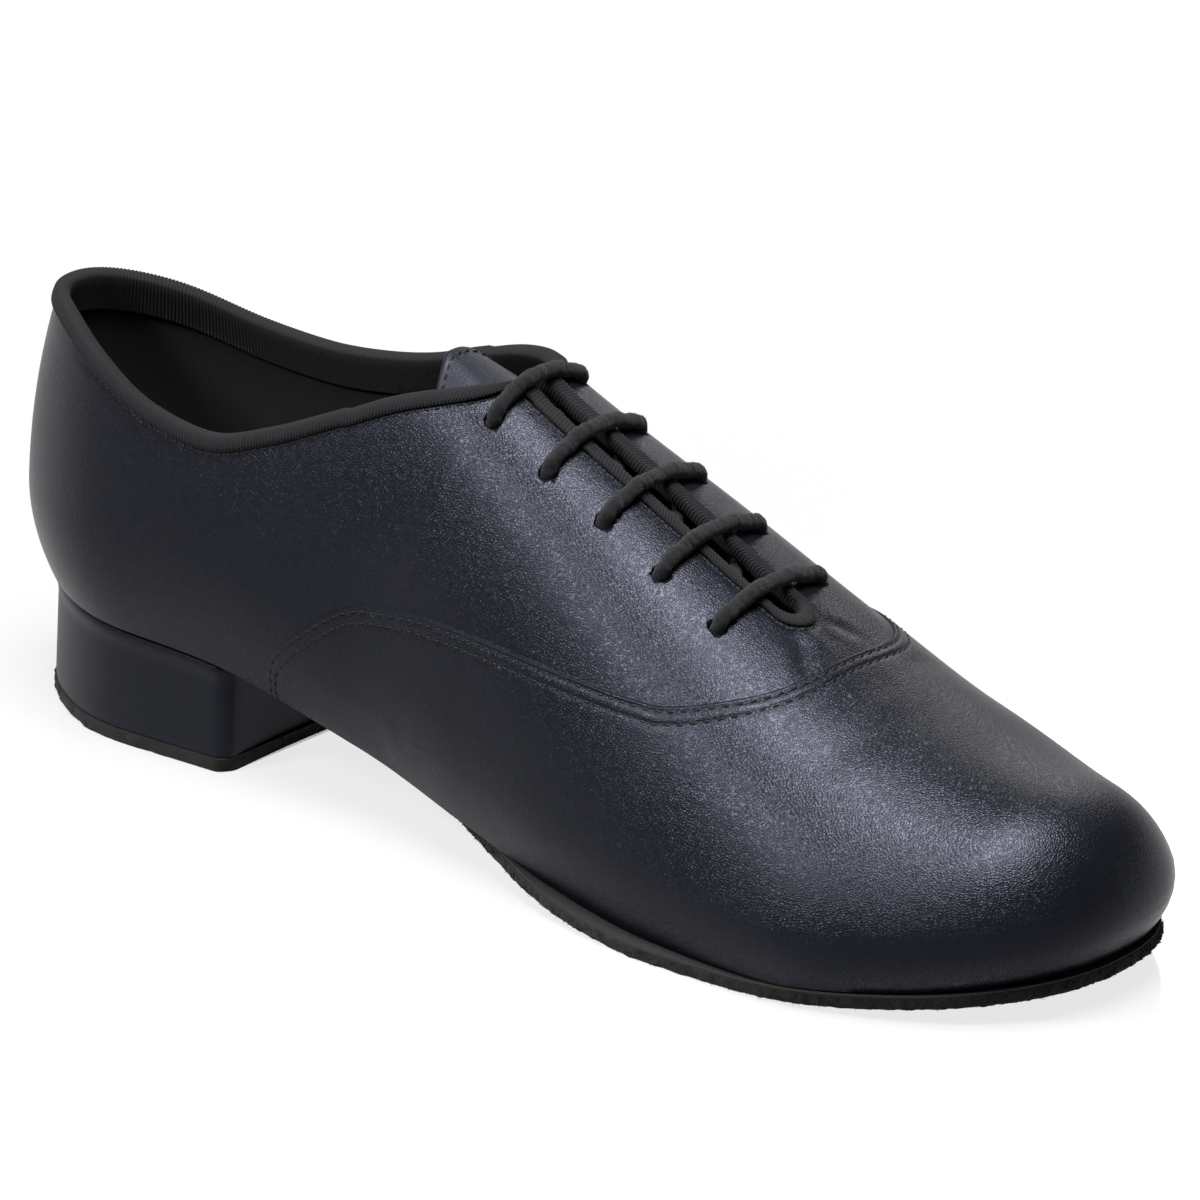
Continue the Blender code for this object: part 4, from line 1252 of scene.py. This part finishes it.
def loose_fibres(roots, outward, length, thick, lean, seed):
    """Loose fibres, one thin three-sided spike from each root, at random leans."""
    rng = np.random.default_rng(seed)
    reach = outward + rng.normal(size=roots.shape) * lean
    reach = unit(reach) * length * rng.uniform(0.35, 1.0, len(roots))[:, None]
    side = unit(np.cross(reach, (0.31, 0.22, 0.93))) * thick
    over = unit(np.cross(side, reach)) * thick
    points = np.stack([roots + side, roots - side, roots + over, roots + reach], axis=1)
    first = 4 * np.arange(len(roots))[:, None]
    corners = np.array([(0, 1, 2), (0, 1, 3), (1, 2, 3), (2, 0, 3)])
    return points.reshape(-1, 3), (first[:, :, None] + corners[None]).reshape(-1, 3)


lace_points, lace_faces, lace_uv = cord_mesh(
    curve_through(lace_path(), LACE_STEP), LACE_DIAMETER / 2 + 0.00010, LACE_SIDES, FUZZ, 7
)
lace_piece = make_piece(
    "round_cotton_lace", lace_points, lace_faces, [cotton_lace], sharp=80.0, uv=lace_uv
)
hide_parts("lace")

ring_centres = lace_points.reshape(-1, LACE_SIDES, 3).mean(axis=1).repeat(LACE_SIDES, axis=0)
fuzz_at = np.random.default_rng(17).integers(0, len(lace_points), FUZZ_COUNT)
fuzz_roots = lace_points[fuzz_at]
fuzz_out = unit(fuzz_roots - ring_centres[fuzz_at])
lace_fuzz = make_piece(
    "lace_fuzz",
    *loose_fibres(fuzz_roots, fuzz_out, FUZZ_LENGTH, FUZZ_THICK, FUZZ_LEAN, 19),
    [cotton_lace],
)

# Insole. Board covered in black lining leather, laid on the turned-in margin of the upper. Its
# edge is rounded under the covering.

INSOLE_THICKNESS = 0.0020
INSOLE_COLUMNS = 141


def plan_line(shares, side, offset):
    """One side of the shoe's plan, moved inward by an offset."""
    x_in, y_in = inward(shares, side)
    return along(shares) + x_in * offset, side * half_width(shares, side) + y_in * offset


def plan_rings(shares, levels, back_end=-SHOE_LENGTH):
    """Closed outlines of the shoe's plan, one for each pair of inset and height functions.
    Points behind back_end are pushed forward to it."""
    stack = []
    for inset, height in levels:
        sides = []
        for side in (MEDIAL, LATERAL):
            x, y = plan_line(shares, side, inset(shares))
            x = np.maximum(x, back_end)
            sides.append(np.stack([x, y, height(share_of(x))], -1))
        stack.append(np.concatenate([sides[0], sides[1][-2:0:-1]]))
    return np.stack(stack, axis=1)


def close_plan(rings, shares_count):
    """Quads between stacked outlines and across their first and last, from side to side."""
    around, levels = rings.shape[:2]
    faces = grid_faces(around, levels, True, False).tolist()
    for level in (0, levels - 1):
        for k in range(shares_count - 1):
            a, b = k, k + 1
            c = around - k - 1 if k + 1 < shares_count - 1 else shares_count - 1
            d = (around - k) % around
            faces.append(list(dict.fromkeys(place * levels + level for place in (a, b, c, d))))
    return [face for face in faces if len(face) > 2]


insole_shares = bunched(0, np.pi, INSOLE_COLUMNS)
insole_low = WALL + 1.5 * GAP


def insole_inset(extra):
    return lambda t: edge_offset(t) + WALL * 2 + GAP + extra


def insole_height(rise):
    return lambda t: edge_height(t) + insole_low + rise


insole_rings = plan_rings(insole_shares, [
    (insole_inset(0.0), insole_height(0.0)),
    (insole_inset(0.0), insole_height(INSOLE_THICKNESS * 0.6)),
    (insole_inset(0.0003), insole_height(INSOLE_THICKNESS * 0.88)),
    (insole_inset(0.0009), insole_height(INSOLE_THICKNESS)),
    (insole_inset(0.0030), insole_height(INSOLE_THICKNESS)),
])
insole_piece = make_piece(
    "insole_sock", insole_rings, close_plan(insole_rings, len(insole_shares)), [lining_leather]
)
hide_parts("insole")

# Sole. Thin black split suede, brushed to grip the dance floor, on a brown fibre layer that
# shows as a fine line along its edge. The suede's cut edge is ragged with loose fibres.

SoleEdge = namedtuple("SoleEdge", "share out")
SOLE_EDGE = (
    SoleEdge(0.20, -1.60),
    SoleEdge(0.30, -1.90),
    SoleEdge(0.42, -1.70),
    SoleEdge(0.49, -1.00),
    SoleEdge(0.55, 0.20),
    SoleEdge(0.61, 1.05),
    SoleEdge(0.68, 1.10),
    SoleEdge(0.76, 0.50),
    SoleEdge(0.84, 0.10),
    SoleEdge(0.92, 0.24),
    SoleEdge(1.00, 0.40),
)
HEEL_LENGTH = 0.0696
FIBRE_LENGTH = 0.00075
FIBRE_THICK = 0.00008
FIBRE_LEAN = 0.55
SOLE_FIBRES = 6000
SOLE_COLUMNS = 420
CUT_EDGE_ROUGHNESS = 0.00016
FIBRE_LAYER_BAND = 6

# Split leather brushed to a nap: swallows light, with slow patches where the nap turns.
brushed_suede, tree = new_material("brushed_split_suede")
where = add_node(tree, "ShaderNodeTexCoord").outputs["Object"]
pile = add_node(tree, "ShaderNodeTexNoise", {}, {
    "Vector": where, "Scale": 1 / 0.0005, "Detail": 5.0, "Roughness": 0.75,
})
brushing = add_node(tree, "ShaderNodeTexNoise", {}, {
    "Vector": where, "Scale": 1 / 0.012, "Detail": 3.0, "Distortion": 1.0,
})
suede_colour = add_node(tree, "ShaderNodeMix", {"data_type": "RGBA"}, {
    0: brushing.outputs["Fac"], 6: linear("#050506"), 7: linear("#0c0c0d"),
})
pile_bump = add_node(tree, "ShaderNodeBump", {}, {
    "Height": pile.outputs["Fac"], "Distance": 0.0003, "Strength": 0.9,
})
finish_material(tree, {
    "Base Color": suede_colour.outputs[2],
    "Roughness": 1.0,
    "IOR": 1.45,
    "Specular IOR Level": 0.10,
    "Sheen Weight": 0.06,
    "Sheen Roughness": 0.6,
    "Normal": pile_bump.outputs["Normal"],
})

# Pressed fibre, trimmed with a knife: a dull brown line with 1 mm flecks.
fibre_board, tree = new_material("pressed_fibre_board")
where = add_node(tree, "ShaderNodeTexCoord").outputs["Object"]
flecks = add_node(tree, "ShaderNodeTexNoise", {}, {
    "Vector": where, "Scale": 1 / 0.0010, "Detail": 3.0,
})
board_colour = add_node(tree, "ShaderNodeMix", {"data_type": "RGBA"}, {
    0: flecks.outputs["Fac"], 6: linear("#15110f"), 7: linear("#2a201b"),
})
finish_material(tree, {
    "Base Color": board_colour.outputs[2], "Roughness": 0.9, "IOR": 1.45,
})


IN_PLAN = np.array((1.0, 1.0, 0.0))


def roughened(rings, levels, size, seed):
    """The cut edge made uneven: the named levels move a little in plan."""
    rng = np.random.default_rng(seed)
    middle = rings.mean(axis=(0, 1))
    for level in levels:
        wobble = rng.normal(size=len(rings))
        wobble = (wobble + np.roll(wobble, 1) + np.roll(wobble, 2)) / 1.7
        outward = unit((rings[:, level] - middle) * IN_PLAN)
        rings[:, level] += outward * (wobble * size)[:, None]
    return rings


heel_breast = along(0.0) + float(edge_offset(np.array(0.0))) + HEEL_LENGTH
sole_back = heel_breast + 1.5 * GAP
sole_shares = bunched(np.arccos(-2 * sole_back / SHOE_LENGTH), np.pi, SOLE_COLUMNS)


def sole_inset(extra):
    def inset(t):
        out = smooth(column(SOLE_EDGE, "share"), column(SOLE_EDGE, "out"), t)
        return edge_offset(t) - SOLE_THICKNESS * out + extra
    return inset


def sole_height(share):
    return lambda t: edge_height(t) - GAP - SOLE_THICKNESS * share


sole_rings = plan_rings(sole_shares, [
    (sole_inset(0.0030), sole_height(1.0)),
    (sole_inset(0.0004), sole_height(1.0)),
    (sole_inset(0.0001), sole_height(0.93)),
    (sole_inset(-0.0001), sole_height(0.75)),
    (sole_inset(0.0), sole_height(0.45)),
    (sole_inset(0.0001), sole_height(0.16)),
    (sole_inset(0.0003), sole_height(0.13)),
    (sole_inset(0.0003), sole_height(0.0)),
    (sole_inset(0.0030), sole_height(0.0)),
], sole_back)
sole_rings = roughened(sole_rings, (1, 2, 3, 4), CUT_EDGE_ROUGHNESS, 3)
sole_rings[:, :, 0] = np.maximum(sole_rings[:, :, 0], sole_back)
sole_faces = close_plan(sole_rings, len(sole_shares))
sole_marks = np.zeros(len(sole_faces), int)
level_of_face = np.tile(np.arange(sole_rings.shape[1] - 1), sole_rings.shape[0])
sole_marks[:len(level_of_face)][level_of_face == FIBRE_LAYER_BAND] = 1
sole_piece = make_piece(
    "suede_sole", sole_rings, sole_faces, [brushed_suede, fibre_board], sole_marks
)
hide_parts("sole")

rng = np.random.default_rng(11)


def edge_fibres(name, roots, outward, droop, rises, count, seed):
    """Loose fibres along a cut suede edge, leaning outward and a little down."""
    fibre_at = rng.integers(0, len(roots), count)
    rise = rng.uniform(*rises, count)[:, None] * (0.0, 0.0, 1.0)
    outward = unit(outward * IN_PLAN) + (0.0, 0.0, droop)
    return make_piece(name, *loose_fibres(
        roots[fibre_at] + rise, outward[fibre_at], FIBRE_LENGTH, FIBRE_THICK, FIBRE_LEAN, seed
    ), [brushed_suede])


sole_fibres = edge_fibres(
    "sole_edge_fibres", sole_rings[:, 2], sole_rings[:, 3] - sole_rings[:, 0],
    -0.25, (0, 0.0022), SOLE_FIBRES, 12,
)

# Heel. Built up and covered in smooth black leather, with a rounded rim under the upper and a
# flat breast, and a suede top piece under it whose cut edge is ragged like the sole's.

HEEL_CAP_THICKNESS = 0.0032
HEEL_TAPER = 0.0005
HEEL_CORNER = 0.0035
HEEL_RIM = 0.0014
BREAST_HOLLOW = 0.0010
CAP_FIBRES = 2400

heel_calf = leather_material(
    "smooth_heel_calf", "#08090c", "#0d0e11", 0.40, 0.00002, 0.42, 0.04
)


def heel_outline(inset, points=90):
    """Closed outline of the heel with a flat, slightly hollow breast."""
    front = (heel_breast - along(0.0) - HEEL_CORNER) / SHOE_LENGTH
    shares = bunched(0, np.arccos(1 - 2 * front), points)
    halves = []
    for side in (MEDIAL, LATERAL):
        x, y = plan_line(shares, side, edge_offset(shares) + inset)
        bend = np.radians(np.linspace(0, 90, 9)[1:])
        corner_x = x[-1] + (heel_breast - x[-1]) * np.sin(bend)
        corner_y = side * (abs(y[-1]) - HEEL_CORNER * (1 - np.cos(bend)))
        across = np.linspace(1, 0, 9)[1:]
        breast_y = corner_y[-1] * across
        breast_x = heel_breast - BREAST_HOLLOW * (1 - across**2)
        halves.append(np.stack([
            np.concatenate([x, corner_x, breast_x]), np.concatenate([y, corner_y, breast_y]),
        ], -1))
    return np.concatenate([halves[0], halves[1][-2:0:-1]]), len(halves[0])


def heel_stack(levels):
    """Outlines of the heel, one for each pair of inset and height number or function."""
    stack = []
    for inset, height in levels:
        plan, count = heel_outline(inset)
        z = height(share_of(plan[:, 0])) if callable(height) else np.full(len(plan), height)
        stack.append(np.column_stack([plan, z]))
    return np.stack(stack, axis=1), count


def heel_seat(drop):
    return lambda t: edge_height(t) - GAP - drop


cap_top = HEEL_CAP_THICKNESS
heel_levels = [
    (HEEL_TAPER + 0.0006, cap_top + GAP * 0.4),
    (HEEL_TAPER + 0.0001, cap_top + GAP * 0.8),
    (HEEL_TAPER, cap_top + 0.0012),
]
for share in np.linspace(0.1, 1.0, 10):
    heel_levels.append((
        HEEL_TAPER + 2 * HEEL_TAPER * share,
        lambda t, share=share: (
            (cap_top + 0.0012) * (1 - share)
            + (edge_height(t) - GAP - 4 * HEEL_RIM) * share
        ),
    ))
# Round the rim: how far under the upper, in rims, and how far in, in tapers.
for drop, inset in (
    (3.2, 2.95), (2.5, 2.6), (1.9, 2.3), (1.4, 2.2), (1.0, 2.35), (0.65, 2.8), (0.35, 3.6),
    (0.12, 4.8), (0.0, 6.4),
):
    heel_levels.append((inset * HEEL_TAPER, heel_seat(drop * HEEL_RIM)))
heel_rings, heel_count = heel_stack(heel_levels)
heel_piece = make_piece(
    "leather_covered_heel", heel_rings, close_plan(heel_rings, heel_count), [heel_calf]
)
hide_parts("heel_block")

cap_rings, cap_count = heel_stack([
    (HEEL_TAPER + 0.0008, 0.0),
    (HEEL_TAPER - 0.0001, 0.0002),
    (HEEL_TAPER - 0.0004, cap_top * 0.35),
    (HEEL_TAPER - 0.0003, cap_top * 0.70),
    (HEEL_TAPER - 0.0001, cap_top * 0.94),
    (HEEL_TAPER + 0.0004, cap_top),
])
cap_rings = roughened(cap_rings, (1, 2, 3, 4), CUT_EDGE_ROUGHNESS, 5)
cap_piece = make_piece(
    "suede_top_piece", cap_rings, close_plan(cap_rings, cap_count), [brushed_suede]
)
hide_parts("heel_cap")

cap_fibres = edge_fibres(
    "top_piece_edge_fibres", cap_rings[:, 1], cap_rings[:, 2] - cap_rings.mean(axis=(0, 1)),
    -0.15, (0.0002, 0.0026), CAP_FIBRES, 14,
)

bpy.context.view_layer.update()
